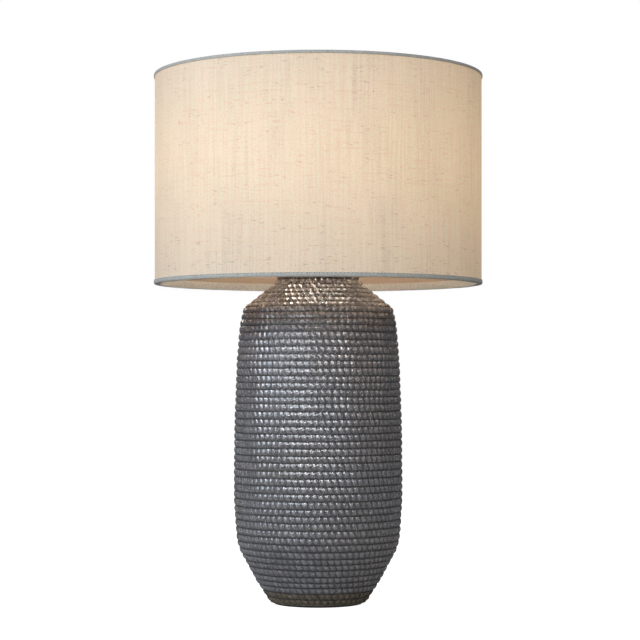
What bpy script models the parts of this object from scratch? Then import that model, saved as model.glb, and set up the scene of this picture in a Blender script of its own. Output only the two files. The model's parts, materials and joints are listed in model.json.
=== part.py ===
"""Table lamp: a hollow ceramic body on a threaded rod, a switched bulb socket, a wire
harp and a drum shade held by a finial.

Metres, +Z up. The origin is the centre of the underside, on the table. -Y is the front,
+Y the back where the cord leaves, and the harp stands in the XZ plane.
Outlines are (radius, height) or (x, height) pairs measured from a piece's own origin.
"""

import math

import bmesh
import bpy
from mathutils import Matrix, Vector

# ---- Driving dimensions -------------------------------------------------------------
GAP = 0.0003                # kept between pieces that touch
LAMP_TOP = 0.6141           # top edge of the shade above the table

# Ceramic body
PAD_THICK = 0.0020
FOOT_R = 0.0572
BELLY_R = 0.0989
SHOULDER_R = 0.0872
NECK_R = 0.0470
NECK_TOP = 0.3860
WALL = 0.0060
RECESS_MOUTH_R = 0.0420     # hollow under the foot
RECESS_ROOF_R = 0.0560
RECESS_ROOF = 0.0190
FLOOR_TOP = 0.0250
CORD_Z = 0.0120
CORD_BORE_R = 0.0035
CORD_FACE_Y = 0.0600        # flat seat of the grommet's flange

# Threaded rod and its hardware
ROD_R = 0.0051
ROD_BORE_R = 0.0034
ROD_HOLE_R = 0.0055
ROD_BOTTOM = 0.0105
ROD_TOP = 0.4105
CAP_R = 0.0450
CAP_RISE = 0.0050
COLLAR_HEIGHT = 0.0057
SADDLE_THICK = 0.0016
NUT_HEIGHT = 0.0030

# Socket and switch
SOCKET_HEIGHT = 0.0565
SHELL_R = 0.0186
SHELL_THICK = 0.0006
SWITCH_Z = 0.4280
KNOB_R = 0.0065

# Bulb: 60 mm across with a 26 mm screw base
BULB_R = 0.0300
BULB_CONTACT_Z = 0.4363
BULB_TOP = 0.5450
BULB_GLASS_THICK = 0.0009
BULB_BASE_R = 0.0131

# Harp
HARP_LEG_X = 0.0360
HARP_BELLY_X = 0.0570
HARP_WIRE_R = 0.0020
HARP_TOP = 0.5770
POST_R = 0.0018
POST_TOP = 0.4130
SLEEVE_R = 0.0040
SLEEVE_HEIGHT = 0.0200
STUD_R = 0.0031
STUD_TOP = 0.5940
STUD_BLOCK_R = 0.0070
STUD_SHOULDER = 0.5810

# Shade
SHADE_R = 0.1900
SHADE_BOTTOM = 0.3713
CLOTH_THICK = 0.0007
TRIM_PROUD = 0.0013
TRIM_HEIGHT = 0.0046
EDGE_INSET = 0.0009         # the trim's turn over the cloth's cut edge
RING_WIRE_R = 0.0016
ARM_WIRE_R = 0.0015
ARM_ANGLES = (90, 210, 330)
HUB_R = 0.0125
HUB_THICK = 0.0018
SEAM_WIDTH = 0.0100

# Finial
FINIAL_TOP = 0.6120
INSERT_R = 0.0050
INSERT_HEIGHT = 0.0126

# Steps round a turned piece
BODY_STEPS = 40
SHADE_STEPS = 48
ROUND_STEPS = 20
SMALL_STEPS = 12
WIRE_SIDES = 6
HEX = 6

# Heights that follow from the stack of pieces
BODY_BOTTOM = PAD_THICK + GAP
GASKET_Z = NECK_TOP + GAP
GASKET_THICK = 0.0012
CAP_Z = GASKET_Z + GASKET_THICK + GAP
CAP_THICK = 0.0012
COLLAR_Z = CAP_Z + CAP_THICK + CAP_RISE + GAP
SADDLE_Z = COLLAR_Z + COLLAR_HEIGHT + GAP
SADDLE_NUT_Z = SADDLE_Z + SADDLE_THICK + GAP
SOCKET_Z = SADDLE_NUT_Z + NUT_HEIGHT + GAP
SOCKET_TOP = SOCKET_Z + SOCKET_HEIGHT
HUB_Z = STUD_SHOULDER + GAP
FINIAL_Z = HUB_Z + HUB_THICK + GAP

# Radii that follow from the shade's layers
LINER_R = SHADE_R - CLOTH_THICK - GAP
LINER_INNER_R = LINER_R - CLOTH_THICK
RING_R = LINER_INNER_R - GAP - RING_WIRE_R

# Directions a turned piece's axis can face
UP = (0, 0, 0)
TO_FRONT = (math.radians(90), 0, 0)
TO_BACK = (math.radians(-90), 0, 0)
TO_RIGHT = (0, math.radians(90), 0)
TO_LEFT = (0, math.radians(-90), 0)

AXIS_TOUCH = 1e-7           # a radius below this lies on the axis


# ---- Materials ----------------------------------------------------------------------
def material(name, colour, roughness, metallic=0.0):
    """A Principled material with the piece's own colour and finish."""
    made = bpy.data.materials.new(name)
    made.use_nodes = True
    shader = made.node_tree.nodes["Principled BSDF"]
    shader.inputs["Base Color"].default_value = (*colour, 1.0)
    shader.inputs["Roughness"].default_value = roughness
    shader.inputs["Metallic"].default_value = metallic
    return made


def brass(name):
    """Satin brass hardware."""
    return material(name, (0.62, 0.47, 0.24), 0.32, 1.0)


def steel(name):
    """Zinc-plated steel hardware."""
    return material(name, (0.60, 0.60, 0.58), 0.38, 1.0)


# ---- Shape helpers ------------------------------------------------------------------
def rounded_path(corners, steps=3):
    """Points along straight runs between corners (x, z, radius), each corner an arc."""
    points = []
    last = len(corners) - 1
    for index, (x, z, radius) in enumerate(corners):
        here = Vector((x, z))
        if radius == 0 or index in (0, last):
            points.append(here)
            continue
        back = (Vector(corners[index - 1][:2]) - here).normalized()
        onward = (Vector(corners[index + 1][:2]) - here).normalized()
        bend = math.pi - back.angle(onward)
        side = math.copysign(1.0, back.cross(onward))
        centre = here + (back + onward).normalized() * radius / math.cos(bend / 2)
        spoke = here + back * radius * math.tan(bend / 2) - centre
        for step in range(steps + 1):
            angle = -side * bend * step / steps
            turned_spoke = Vector((spoke.x * math.cos(angle) - spoke.y * math.sin(angle),
                                   spoke.x * math.sin(angle) + spoke.y * math.cos(angle)))
            points.append(centre + turned_spoke)
    return [(point.x, point.y) for point in points]


def circle_outline(radius, height, wire, sides=WIRE_SIDES):
    """The round outline of a wire, centred at a radius and height."""
    turn = 2 * math.pi / sides
    return [(radius + wire * math.cos(turn * side), height + wire * math.sin(turn * side))
            for side in range(sides)]


def add_object(name, data, finish, at=(0, 0, 0), facing=UP, parent=None):
    """Links an object that carries the data and its finish."""
    obj = bpy.data.objects.new(name, data)
    obj.location = at
    obj.rotation_euler = facing
    obj.parent = parent
    if finish is not None:
        data.materials.append(finish)
    bpy.context.scene.collection.objects.link(obj)
    return obj


def mesh_from(bm, name):
    """A smooth-shaded mesh with outward faces from a bmesh, which is freed."""
    bmesh.ops.recalc_face_normals(bm, faces=bm.faces)
    mesh = bpy.data.meshes.new(name)
    bm.to_mesh(mesh)
    bm.free()
    mesh.shade_smooth()
    mesh.set_sharp_from_angle(angle=math.radians(35))
    return mesh


def turned(name, outline, finish, at=(0, 0, 0), facing=UP, steps=ROUND_STEPS, parent=None):
    """A piece turned round its own axis. An outline that starts and ends on the axis is a
    solid of revolution; any other outline is closed into a ring."""
    bm = bmesh.new()
    verts = [bm.verts.new((radius, 0, height)) for radius, height in outline]
    edges = [bm.edges.new(pair) for pair in zip(verts, verts[1:])]
    if max(outline[0][0], outline[-1][0]) > AXIS_TOUCH:
        edges.append(bm.edges.new((verts[-1], verts[0])))
    bmesh.ops.spin(bm, geom=verts + edges, cent=(0, 0, 0), axis=(0, 0, 1),
                   angle=2 * math.pi, steps=steps, use_merge=True)
    bmesh.ops.remove_doubles(bm, verts=bm.verts, dist=1e-6)
    return add_object(name, mesh_from(bm, name), finish, at, facing, parent)


def tube(name, radius, inner, height, finish, **place):
    """A plain tube or washer that stands on its own origin."""
    outline = [(inner, 0), (radius, 0), (radius, height), (inner, height)]
    return turned(name, outline, finish, **place)


def rod(name, radius, height, finish, **place):
    """A plain round bar that stands on its own origin."""
    return turned(name, [(0, 0), (radius, 0), (radius, height), (0, height)], finish, **place)


def wire(name, points, radius, finish, facing=UP):
    """A round wire along points in the XZ plane, with closed ends."""
    curve = bpy.data.curves.new(name, "CURVE")
    curve.dimensions = "3D"
    curve.bevel_depth = radius
    curve.bevel_resolution = 1
    curve.use_fill_caps = True
    spline = curve.splines.new("POLY")
    spline.points.add(len(points) - 1)
    for spot, (x, z) in zip(spline.points, points):
        spot.co = (x, 0, z, 1)
    return add_object(name, curve, finish, facing=facing)


def boolean(obj, operand, operation):
    """Cuts or joins with an operand that is itself left out of the model."""
    modifier = obj.modifiers.new(operand.name, "BOOLEAN")
    modifier.operation = operation
    modifier.object = operand
    modifier.solver = "EXACT"
    operand.hide_render = True
    operand.display_type = "WIRE"


def drill(obj, name, radius, start, length, facing, steps=SMALL_STEPS):
    """A round hole from a start point along a direction."""
    cutter = rod(name, radius, length, None, at=start, facing=facing, steps=steps)
    boolean(obj, cutter, "DIFFERENCE")


def hex_nut(name, flats, height, z, finish):
    """A hexagonal nut on the threaded rod."""
    nut = rod(name, flats / 2 / math.cos(math.pi / HEX), height, finish, at=(0, 0, z), steps=HEX)
    drill(nut, name + "_thread", ROD_HOLE_R, (0, 0, z - height), 3 * height, UP)
    return nut


# ---- Base: everything that stays put ------------------------------------------------
def body_outline():
    """Outline of the ceramic wall: up the outside, down the inside, round the recess."""
    outside = rounded_path([
        (RECESS_MOUTH_R, BODY_BOTTOM, 0),
        (FOOT_R, BODY_BOTTOM, 0.0030),
        (0.0735, 0.0275, 0.1500),
        (0.0952, 0.0680, 0.0600),
        (BELLY_R, 0.1200, 0.3000),
        (0.0983, 0.2050, 0.6000),
        (0.0956, 0.2800, 0.4000),
        (0.0918, 0.3260, 0.0600),
        (SHOULDER_R, 0.3447, 0.0060),
        (0.0612, 0.3650, 0.0200),
        (0.0497, 0.3745, 0.0120),
        (NECK_R, NECK_TOP, 0),
    ], steps=2)
    inside = [
        (NECK_R - WALL, NECK_TOP),
        (0.0425, 0.3725),
        (0.0585, 0.3590),
        (SHOULDER_R - 0.0050, 0.3385),
        (0.0858, 0.3250),
        (BELLY_R - WALL, 0.2050),
        (BELLY_R - WALL, 0.1200),
        (0.0888, 0.0720),
        (0.0660, FLOOR_TOP + 0.0035),
        (0.0620, FLOOR_TOP),
        (ROD_HOLE_R, FLOOR_TOP),
        (ROD_HOLE_R, RECESS_ROOF),
        (RECESS_ROOF_R, RECESS_ROOF),
    ]
    return outside + inside


def make_body():
    """Foot pad, ceramic body and the grommet in its cord hole."""
    felt = material("felt", (0.06, 0.055, 0.05), 0.95)
    tube("foot_pad", 0.0515, RECESS_MOUTH_R + GAP, PAD_THICK, felt, steps=BODY_STEPS)

    stoneware = material("stoneware", (0.16, 0.165, 0.18), 0.35)
    body = turned("ceramic_body", body_outline(), stoneware, steps=BODY_STEPS)
    hole_start = (0, RECESS_MOUTH_R - 0.0100, CORD_Z)
    drill(body, "cord_hole", 0.0056, hole_start, 0.0500, TO_BACK, steps=ROUND_STEPS)
    drill(body, "grommet_seat", 0.0069, (0, CORD_FACE_Y, CORD_Z), 0.0200, TO_BACK,
          steps=ROUND_STEPS)

    rubber = material("grommet_rubber", (0.03, 0.03, 0.03), 0.6)
    bush_depth = 0.0100
    flange = 0.0020
    grommet = [
        (CORD_BORE_R, -bush_depth),
        (0.0052, -bush_depth),
        (0.0052, GAP),
        (0.0065, GAP),
        (0.0065, flange),
        (0.0058, flange + 0.0006),
        (CORD_BORE_R, flange + 0.0006),
    ]
    turned("cord_grommet", grommet, rubber, at=(0, CORD_FACE_Y, CORD_Z), facing=TO_BACK,
           steps=ROUND_STEPS)


def make_rod_hardware():
    """The hollow threaded rod, the nut under the floor and the cap over the neck."""
    rod_length = ROD_TOP - ROD_BOTTOM
    tube("threaded_rod", ROD_R, ROD_BORE_R, rod_length, steel("rod_steel"),
         at=(0, 0, ROD_BOTTOM), steps=SMALL_STEPS)

    washer_thick = 0.0015
    washer_z = RECESS_ROOF - GAP - washer_thick
    tube("bottom_washer", 0.0200, ROD_HOLE_R, washer_thick, steel("washer_steel"),
         at=(0, 0, washer_z))
    lock_thick = 0.0010
    lock_z = washer_z - GAP - lock_thick
    tube("lock_washer", 0.0090, ROD_HOLE_R, lock_thick, steel("lock_steel"), at=(0, 0, lock_z),
         steps=SMALL_STEPS)
    nut_height = 0.0042
    hex_nut("bottom_nut", 0.0159, nut_height, lock_z - GAP - nut_height, steel("nut_steel"))

    gasket_rubber = material("gasket_rubber", (0.05, 0.045, 0.04), 0.7)
    tube("neck_gasket", NECK_R - 0.0010, NECK_R - WALL + 0.0010, GASKET_THICK, gasket_rubber,
         at=(0, 0, GASKET_Z), steps=BODY_STEPS)

    crown_r = 0.0140
    skirt_r = 0.0360
    cap = [
        (ROD_HOLE_R, CAP_RISE + CAP_THICK),
        (crown_r, CAP_RISE + CAP_THICK),
        (skirt_r, CAP_THICK),
        (CAP_R, CAP_THICK),
        (CAP_R + 0.0006, 0.0003),
        (CAP_R, 0),
        (skirt_r, 0),
        (crown_r, CAP_RISE),
        (ROD_HOLE_R, CAP_RISE),
    ]
    turned("neck_cap", cap, brass("cap_brass"), at=(0, 0, CAP_Z), steps=BODY_STEPS)

    waist = COLLAR_HEIGHT / 2
    collar = [
        (ROD_HOLE_R, 0),
        (0.0110, 0),
        (0.0110, 0.0012),
        (0.0085, waist),
        (0.0100, COLLAR_HEIGHT - 0.0010),
        (0.0100, COLLAR_HEIGHT),
        (ROD_HOLE_R, COLLAR_HEIGHT),
    ]
    turned("stem_collar", collar, brass("collar_brass"), at=(0, 0, COLLAR_Z))


def make_saddle():
    """The U-shaped strap that holds the harp's legs, and its lock nut."""
    half_width = 0.0075
    ear_top = SADDLE_Z + 0.0057
    mid = SADDLE_Z + SADDLE_THICK / 2
    centreline = rounded_path([
        (-HARP_LEG_X, ear_top, 0),
        (-HARP_LEG_X, mid, 0.0035),
        (HARP_LEG_X, mid, 0.0035),
        (HARP_LEG_X, ear_top, 0),
    ])
    bm = bmesh.new()
    verts = [bm.verts.new((x, -half_width, z)) for x, z in centreline]
    edges = [bm.edges.new(pair) for pair in zip(verts, verts[1:])]
    swept = bmesh.ops.extrude_edge_only(bm, edges=edges)["geom"]
    moved = [item for item in swept if isinstance(item, bmesh.types.BMVert)]
    bmesh.ops.translate(bm, verts=moved, vec=(0, 2 * half_width, 0))
    saddle = add_object("harp_saddle", mesh_from(bm, "harp_saddle"), brass("saddle_brass"))
    thickness = saddle.modifiers.new("strap_thickness", "SOLIDIFY")
    thickness.thickness = SADDLE_THICK
    thickness.offset = 0
    drill(saddle, "saddle_hole", ROD_HOLE_R, (0, 0, SADDLE_Z - 0.0050), 0.0100, UP)
    post_root = ear_top - 0.0020
    for side, name in ((-1, "post_left"), (1, "post_right")):
        post = rod(name, POST_R, POST_TOP - post_root, None,
                   at=(side * HARP_LEG_X, 0, post_root), steps=SMALL_STEPS)
        boolean(saddle, post, "UNION")
    hex_nut("saddle_nut", 0.0145, NUT_HEIGHT, SADDLE_NUT_Z, brass("saddle_nut_brass"))


def make_socket():
    """The bulb socket: cap, shell, insulator, body, screw shell, contact and screws."""
    rim_r = 0.0200
    rim_inner_r = 0.0192
    cap = [
        (ROD_HOLE_R, 0),
        (0.0084, 0),
        (0.0084, 0.0055),
        (0.0140, 0.0070),
        (rim_r, 0.0115),
        (rim_r, 0.0180),
        (rim_inner_r, 0.0180),
        (rim_inner_r, 0.0120),
        (0.0138, 0.0079),
        (ROD_HOLE_R, 0.0064),
    ]
    socket_cap = turned("socket_cap", cap, brass("socket_cap_brass"), at=(0, 0, SOCKET_Z))
    screw_z = SOCKET_Z + 0.0028
    drill(socket_cap, "set_screw_hole", 0.0019, (0, 0.0040, screw_z), 0.0080, TO_BACK)
    rod("socket_set_screw", 0.0015, 0.0040, steel("set_screw_steel"),
        at=(0, ROD_R + 2 * GAP, screw_z), facing=TO_BACK, steps=SMALL_STEPS)

    shell_z = SOCKET_Z + 0.0127
    top = SOCKET_TOP - shell_z
    inner = SHELL_R - SHELL_THICK
    shell = [
        (inner, 0),
        (SHELL_R, 0),
        (SHELL_R, top - 0.0040),
        (SHELL_R + 0.0008, top - 0.0025),
        (SHELL_R + 0.0008, top - 0.0010),
        (SHELL_R, top),
        (inner, top),
    ]
    socket_shell = turned("socket_shell", shell, brass("shell_brass"), at=(0, 0, shell_z))
    fibre = material("fibre_board", (0.30, 0.22, 0.14), 0.85)
    liner_z = shell_z + 0.0018
    insulator = tube("socket_insulator", inner - 0.0004, inner - 0.0010,
                     SOCKET_TOP - 0.0010 - liner_z, fibre, at=(0, 0, liner_z))
    for part, name in ((socket_shell, "shell_window"), (insulator, "insulator_window")):
        drill(part, name, 0.0044, (0, -0.0120, SWITCH_Z), 0.0120, TO_FRONT)

    resin = material("moulded_resin", (0.05, 0.045, 0.04), 0.45)
    block_r = 0.0145
    block_z = 0.4145
    block_height = 0.0200
    block = [(0, 0), (0.0110, 0), (block_r, 0.0035), (block_r, block_height), (0, block_height)]
    socket_body = turned("socket_body", block, resin, at=(0, 0, block_z))
    drill(socket_body, "spindle_hole", 0.0021, (0, -0.0080, SWITCH_Z), 0.0100, TO_FRONT)
    block_top = block_z + block_height
    tube("screw_shell", 0.0142, 0.0137, 0.0232, brass("screw_shell_brass"),
         at=(0, 0, block_top + GAP))
    leaf = [(0, 0), (0.0040, 0), (0.0030, 0.0007), (0, 0.0011)]
    turned("centre_contact", leaf, brass("contact_brass"), at=(0, 0, block_top + GAP),
           steps=SMALL_STEPS)
    head = [(0, 0), (0.0030, 0), (0.0030, 0.0012), (0.0024, 0.0017), (0, 0.0017)]
    screw_side = block_r + GAP
    turned("terminal_screw_left", head, brass("line_screw_brass"),
           at=(-screw_side, 0, SWITCH_Z), facing=TO_LEFT, steps=SMALL_STEPS)
    turned("terminal_screw_right", head, steel("neutral_screw_steel"),
           at=(screw_side, 0, SWITCH_Z), facing=TO_RIGHT, steps=SMALL_STEPS)


# ---- Switch: turns about the axis that leaves the socket towards the front -----------
def make_switch():
    """The fixed barrel, then the spindle and knob on the switch's axis."""
    barrel_start = 0.0148
    barrel_length = 0.0094
    tube("switch_barrel", 0.0040, 0.0020, barrel_length, brass("barrel_brass"),
         at=(0, -barrel_start, SWITCH_Z), facing=TO_FRONT, steps=SMALL_STEPS)

    knob_start = barrel_start + barrel_length + 0.0005
    axis = bpy.data.objects.new("switch_axis", None)
    axis.location = (0, -knob_start, SWITCH_Z)
    axis.rotation_euler = TO_FRONT
    bpy.context.scene.collection.objects.link(axis)
    spindle_back = 0.0150
    spindle_front = 0.0105
    rod("switch_spindle", 0.0016, spindle_back + spindle_front, brass("spindle_brass"),
        at=(0, 0, -spindle_back), parent=axis, steps=SMALL_STEPS)
    length = 0.0130
    bore = 0.0019
    knob = [
        (0, spindle_front + GAP),
        (bore, spindle_front + GAP),
        (bore, 0),
        (0.0050, 0),
        (KNOB_R, 0.0016),
        (KNOB_R, length - 0.0022),
        (0.0052, length - 0.0003),
        (0, length),
    ]
    black = material("knob_black", (0.02, 0.02, 0.02), 0.3)
    turned("switch_knob", knob, black, parent=axis)


# ---- Bulb: screws up and out of the socket -------------------------------------------
def glass_half(thick):
    """The envelope's outline from the neck's rim up to the axis, one wall in by thick."""
    return rounded_path([
        (0.0123 - thick, 0.4590, 0),
        (0.0123 - thick, 0.4700 + 0.3 * thick, 0.0250),
        (BULB_R - thick, 0.4980 + 0.3 * thick, 0.0280),
        (BULB_R - thick, BULB_TOP - thick, BULB_R - thick),
        (0, BULB_TOP - thick, 0),
    ])


def make_bulb():
    """Envelope, screw base with its insulator and contact, stem and filament."""
    opal = material("opal_glass", (0.95, 0.92, 0.85), 0.3)
    outline = list(reversed(glass_half(0.0))) + glass_half(BULB_GLASS_THICK)
    turned("bulb_glass", outline, opal)

    base_z = BULB_CONTACT_Z
    nickel = steel("bulb_cap_nickel")
    tube("bulb_cap", BULB_BASE_R, BULB_BASE_R - 0.0004, 0.0214, nickel,
         at=(0, 0, base_z + 0.0053))
    black_glass = material("base_glass", (0.02, 0.02, 0.025), 0.2)
    insulator = [(0, 0.0016), (0.0050, 0.0016), (0.0115, 0.0038), (0.0115, 0.0050), (0, 0.0050)]
    turned("bulb_insulator", insulator, black_glass, at=(0, 0, base_z))
    tip = [(0, 0), (0.0035, 0.0002), (0.0048, 0.0013), (0, 0.0013)]
    turned("bulb_contact", tip, steel("bulb_tip_solder"), at=(0, 0, base_z), steps=SMALL_STEPS)

    clear = material("stem_glass", (0.9, 0.92, 0.92), 0.1)
    stem_z = 0.4600
    stem_top = 0.0335
    stem = rounded_path([
        (0, 0, 0),
        (0.0108, 0, 0),
        (0.0108, 0.0014, 0),
        (0.0032, 0.0080, 0.0060),
        (0.0032, stem_top - 0.0040, 0),
        (0.0042, stem_top - 0.0020, 0),
        (0.0030, stem_top, 0),
        (0, stem_top, 0),
    ])
    turned("bulb_stem", stem, clear, at=(0, 0, stem_z), steps=SMALL_STEPS)
    foot = stem_z + stem_top + GAP
    loop = 0.0200
    filament = rounded_path([
        (-0.0022, foot, 0),
        (-0.0130, foot + loop, 0.0010),
        (-0.0065, foot + loop + 0.0030, 0.0010),
        (0, foot + loop, 0.0010),
        (0.0065, foot + loop + 0.0030, 0.0010),
        (0.0130, foot + loop, 0.0010),
        (0.0022, foot, 0),
    ], steps=2)
    tungsten = material("tungsten", (1.0, 0.75, 0.4), 0.5)
    wire("bulb_filament", filament, 0.0005, tungsten)


# ---- Harp: the wire loop that carries the shade ---------------------------------------
def make_harp():
    """The wire loop, the clamp block with its threaded stud, and the two lock sleeves."""
    right = rounded_path([
        (HARP_LEG_X, POST_TOP + GAP, 0),
        (HARP_LEG_X, 0.4450, 0.0600),
        (HARP_BELLY_X, 0.4980, 0.0700),
        (HARP_BELLY_X, HARP_TOP, 0.0420),
        (0, HARP_TOP, 0),
    ], steps=5)
    left = [(-x, z) for x, z in reversed(right[:-1])]
    wire("harp_wire", right[:-1] + left, HARP_WIRE_R, brass("harp_brass"))

    block_bottom = STUD_SHOULDER - 0.0065
    stud = [
        (0, block_bottom),
        (STUD_BLOCK_R, block_bottom),
        (STUD_BLOCK_R, STUD_SHOULDER),
        (STUD_R, STUD_SHOULDER),
        (STUD_R, STUD_TOP - 0.0008),
        (STUD_R - 0.0008, STUD_TOP),
        (0, STUD_TOP),
    ]
    harp_stud = turned("harp_stud", stud, brass("stud_brass"), steps=ROUND_STEPS)
    drill(harp_stud, "wire_passage", HARP_WIRE_R + 0.0004,
          (-2 * STUD_BLOCK_R, 0, HARP_TOP), 4 * STUD_BLOCK_R, TO_RIGHT)

    inner = HARP_WIRE_R + 0.0004
    edge = 0.0006
    sleeve = [
        (inner, 0),
        (SLEEVE_R - edge, 0),
        (SLEEVE_R, edge),
        (SLEEVE_R, SLEEVE_HEIGHT - edge),
        (SLEEVE_R - edge, SLEEVE_HEIGHT),
        (inner, SLEEVE_HEIGHT),
    ]
    sleeve_z = SADDLE_Z + 0.0063
    for side, name in ((-1, "sleeve_left"), (1, "sleeve_right")):
        turned(name, sleeve, brass(name + "_brass"), at=(side * HARP_LEG_X, 0, sleeve_z),
               steps=SMALL_STEPS)


# ---- Shade: drum of linen on two wire rings, carried by a three-armed spider -----------
def make_spider():
    """The hub on the harp's stud, its arms and the two rings."""
    tube("spider_hub", HUB_R, 0.0045, HUB_THICK, steel("hub_steel"), at=(0, 0, HUB_Z))
    top_ring_z = LAMP_TOP - EDGE_INSET - RING_WIRE_R - 0.0004
    bottom_ring_z = SHADE_BOTTOM + EDGE_INSET + RING_WIRE_R + 0.0004
    for name, height in (("top_ring", top_ring_z), ("bottom_ring", bottom_ring_z)):
        turned(name, circle_outline(RING_R, height, RING_WIRE_R), steel(name + "_steel"),
               steps=SHADE_STEPS)
    hub_mid = HUB_Z + HUB_THICK / 2
    ring_inner = RING_R - RING_WIRE_R
    arm = rounded_path([
        (HUB_R + GAP, hub_mid, 0),
        (HUB_R + 0.0100, hub_mid, 0.0080),
        (ring_inner - 0.0090, top_ring_z, 0.0080),
        (ring_inner - 2 * GAP, top_ring_z, 0),
    ])
    for number, angle in enumerate(ARM_ANGLES, start=1):
        name = f"spider_arm_{number}"
        wire(name, arm, ARM_WIRE_R, steel(name + "_steel"), facing=(0, 0, math.radians(angle)))


def make_cloth():
    """The linen drum, its stiff liner, the seam at the back and the edge bindings."""
    cloth_height = LAMP_TOP - SHADE_BOTTOM - 2 * EDGE_INSET
    cloth_z = SHADE_BOTTOM + EDGE_INSET
    linen = material("linen", (0.83, 0.73, 0.60), 0.9)
    tube("shade_fabric", SHADE_R, SHADE_R - CLOTH_THICK, cloth_height, linen,
         at=(0, 0, cloth_z), steps=SHADE_STEPS)
    backing = material("liner", (0.80, 0.74, 0.64), 0.6)
    tube("shade_liner", LINER_R, LINER_INNER_R, cloth_height, backing, at=(0, 0, cloth_z),
         steps=SHADE_STEPS)

    binding = material("binding", (0.30, 0.32, 0.31), 0.85)
    outer = SHADE_R + TRIM_PROUD
    inner = SHADE_R + GAP
    hem_r = RING_R - RING_WIRE_R - GAP
    hem_thick = 0.0006
    hem_height = 0.0090
    skin = EDGE_INSET - GAP
    top_edge = [
        (inner, LAMP_TOP - TRIM_HEIGHT),
        (outer - 0.0003, LAMP_TOP - TRIM_HEIGHT),
        (outer, LAMP_TOP - TRIM_HEIGHT / 2),
        (outer - 0.0005, LAMP_TOP),
        (RING_R, LAMP_TOP),
        (RING_R, LAMP_TOP - skin),
        (inner, LAMP_TOP - skin),
    ]
    turned("top_trim", top_edge, binding, steps=SHADE_STEPS)
    bottom_edge = [
        (inner, SHADE_BOTTOM + TRIM_HEIGHT),
        (inner, SHADE_BOTTOM + skin),
        (hem_r, SHADE_BOTTOM + skin),
        (hem_r, SHADE_BOTTOM + hem_height),
        (hem_r - hem_thick, SHADE_BOTTOM + hem_height),
        (hem_r - hem_thick, SHADE_BOTTOM),
        (outer - 0.0005, SHADE_BOTTOM),
        (outer, SHADE_BOTTOM + TRIM_HEIGHT / 2),
        (outer - 0.0003, SHADE_BOTTOM + TRIM_HEIGHT),
    ]
    turned("bottom_trim", bottom_edge, binding, steps=SHADE_STEPS)

    seam_inner = SHADE_R + GAP
    seam_outer = seam_inner + 0.0005
    seam_z = SHADE_BOTTOM + TRIM_HEIGHT + GAP
    seam_top = LAMP_TOP - TRIM_HEIGHT - GAP
    sweep = SEAM_WIDTH / SHADE_R
    bm = bmesh.new()
    corners = ((seam_inner, seam_z), (seam_outer, seam_z),
               (seam_outer, seam_top), (seam_inner, seam_top))
    face = bm.faces.new([bm.verts.new((x, 0, z)) for x, z in corners])
    bmesh.ops.rotate(bm, verts=bm.verts, cent=(0, 0, 0),
                     matrix=Matrix.Rotation(math.pi / 2 - sweep / 2, 3, "Z"))
    bmesh.ops.spin(bm, geom=[face], cent=(0, 0, 0), axis=(0, 0, 1), angle=sweep, steps=4)
    add_object("shade_seam", mesh_from(bm, "shade_seam"), linen)


# ---- Finial: screws on the stud over the spider's hub ----------------------------------
def make_finial():
    """The threaded insert and the turned knob around it."""
    tube("finial_insert", INSERT_R, STUD_R + 0.00035, INSERT_HEIGHT, steel("insert_steel"),
         at=(0, 0, FINIAL_Z), steps=SMALL_STEPS)
    bore = INSERT_R + 0.00035
    height = FINIAL_TOP - FINIAL_Z
    knob = rounded_path([
        (0, INSERT_HEIGHT + GAP, 0),
        (bore, INSERT_HEIGHT + GAP, 0),
        (bore, 0, 0),
        (0.0095, 0, 0),
        (0.0095, 0.0024, 0),
        (0.0066, 0.0048, 0),
        (0.0066, 0.0080, 0.0012),
        (0.0100, 0.0120, 0.0020),
        (0.0100, height, 0.0090),
        (0, height, 0),
    ], steps=3)
    turned("finial_knob", knob, brass("finial_brass"), at=(0, 0, FINIAL_Z))


def main():
    """Empties the scene and builds the lamp."""
    for old in list(bpy.data.objects):
        bpy.data.objects.remove(old, do_unlink=True)
    make_body()
    make_rod_hardware()
    make_saddle()
    make_socket()
    make_switch()
    make_bulb()
    make_harp()
    make_spider()
    make_cloth()
    make_finial()


main()
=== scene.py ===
"""Finished looks of a table lamp: beaded stoneware under a lit drum shade of slubbed linen.

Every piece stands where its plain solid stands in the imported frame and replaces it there.
Shapes are drawn in millimetres and brought to metres when a piece is finished.
"""

import json
import logging
import math
from dataclasses import dataclass
from enum import Enum
from typing import ClassVar, Sequence

import bmesh
import bpy
import numpy as np
from mathutils import Matrix, Vector

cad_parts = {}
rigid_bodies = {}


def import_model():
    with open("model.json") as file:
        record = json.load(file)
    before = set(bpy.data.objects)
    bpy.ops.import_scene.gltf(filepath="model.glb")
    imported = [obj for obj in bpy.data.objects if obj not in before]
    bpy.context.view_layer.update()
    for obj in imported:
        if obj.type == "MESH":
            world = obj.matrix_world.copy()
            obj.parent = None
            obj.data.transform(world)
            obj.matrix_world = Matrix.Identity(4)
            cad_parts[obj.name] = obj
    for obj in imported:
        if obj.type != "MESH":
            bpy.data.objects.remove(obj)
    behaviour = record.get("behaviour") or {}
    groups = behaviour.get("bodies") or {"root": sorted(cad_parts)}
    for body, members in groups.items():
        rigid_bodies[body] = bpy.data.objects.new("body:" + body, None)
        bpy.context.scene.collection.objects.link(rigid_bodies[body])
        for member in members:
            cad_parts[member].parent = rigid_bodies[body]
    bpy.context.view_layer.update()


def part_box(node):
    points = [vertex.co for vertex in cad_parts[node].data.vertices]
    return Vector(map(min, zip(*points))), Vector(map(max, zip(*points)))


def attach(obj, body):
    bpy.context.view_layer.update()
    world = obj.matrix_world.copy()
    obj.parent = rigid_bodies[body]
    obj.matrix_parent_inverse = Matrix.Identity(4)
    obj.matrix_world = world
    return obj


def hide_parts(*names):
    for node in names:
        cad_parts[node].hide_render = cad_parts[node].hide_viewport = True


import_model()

MM = 0.001
FULL_TURN = 2 * math.pi
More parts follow.
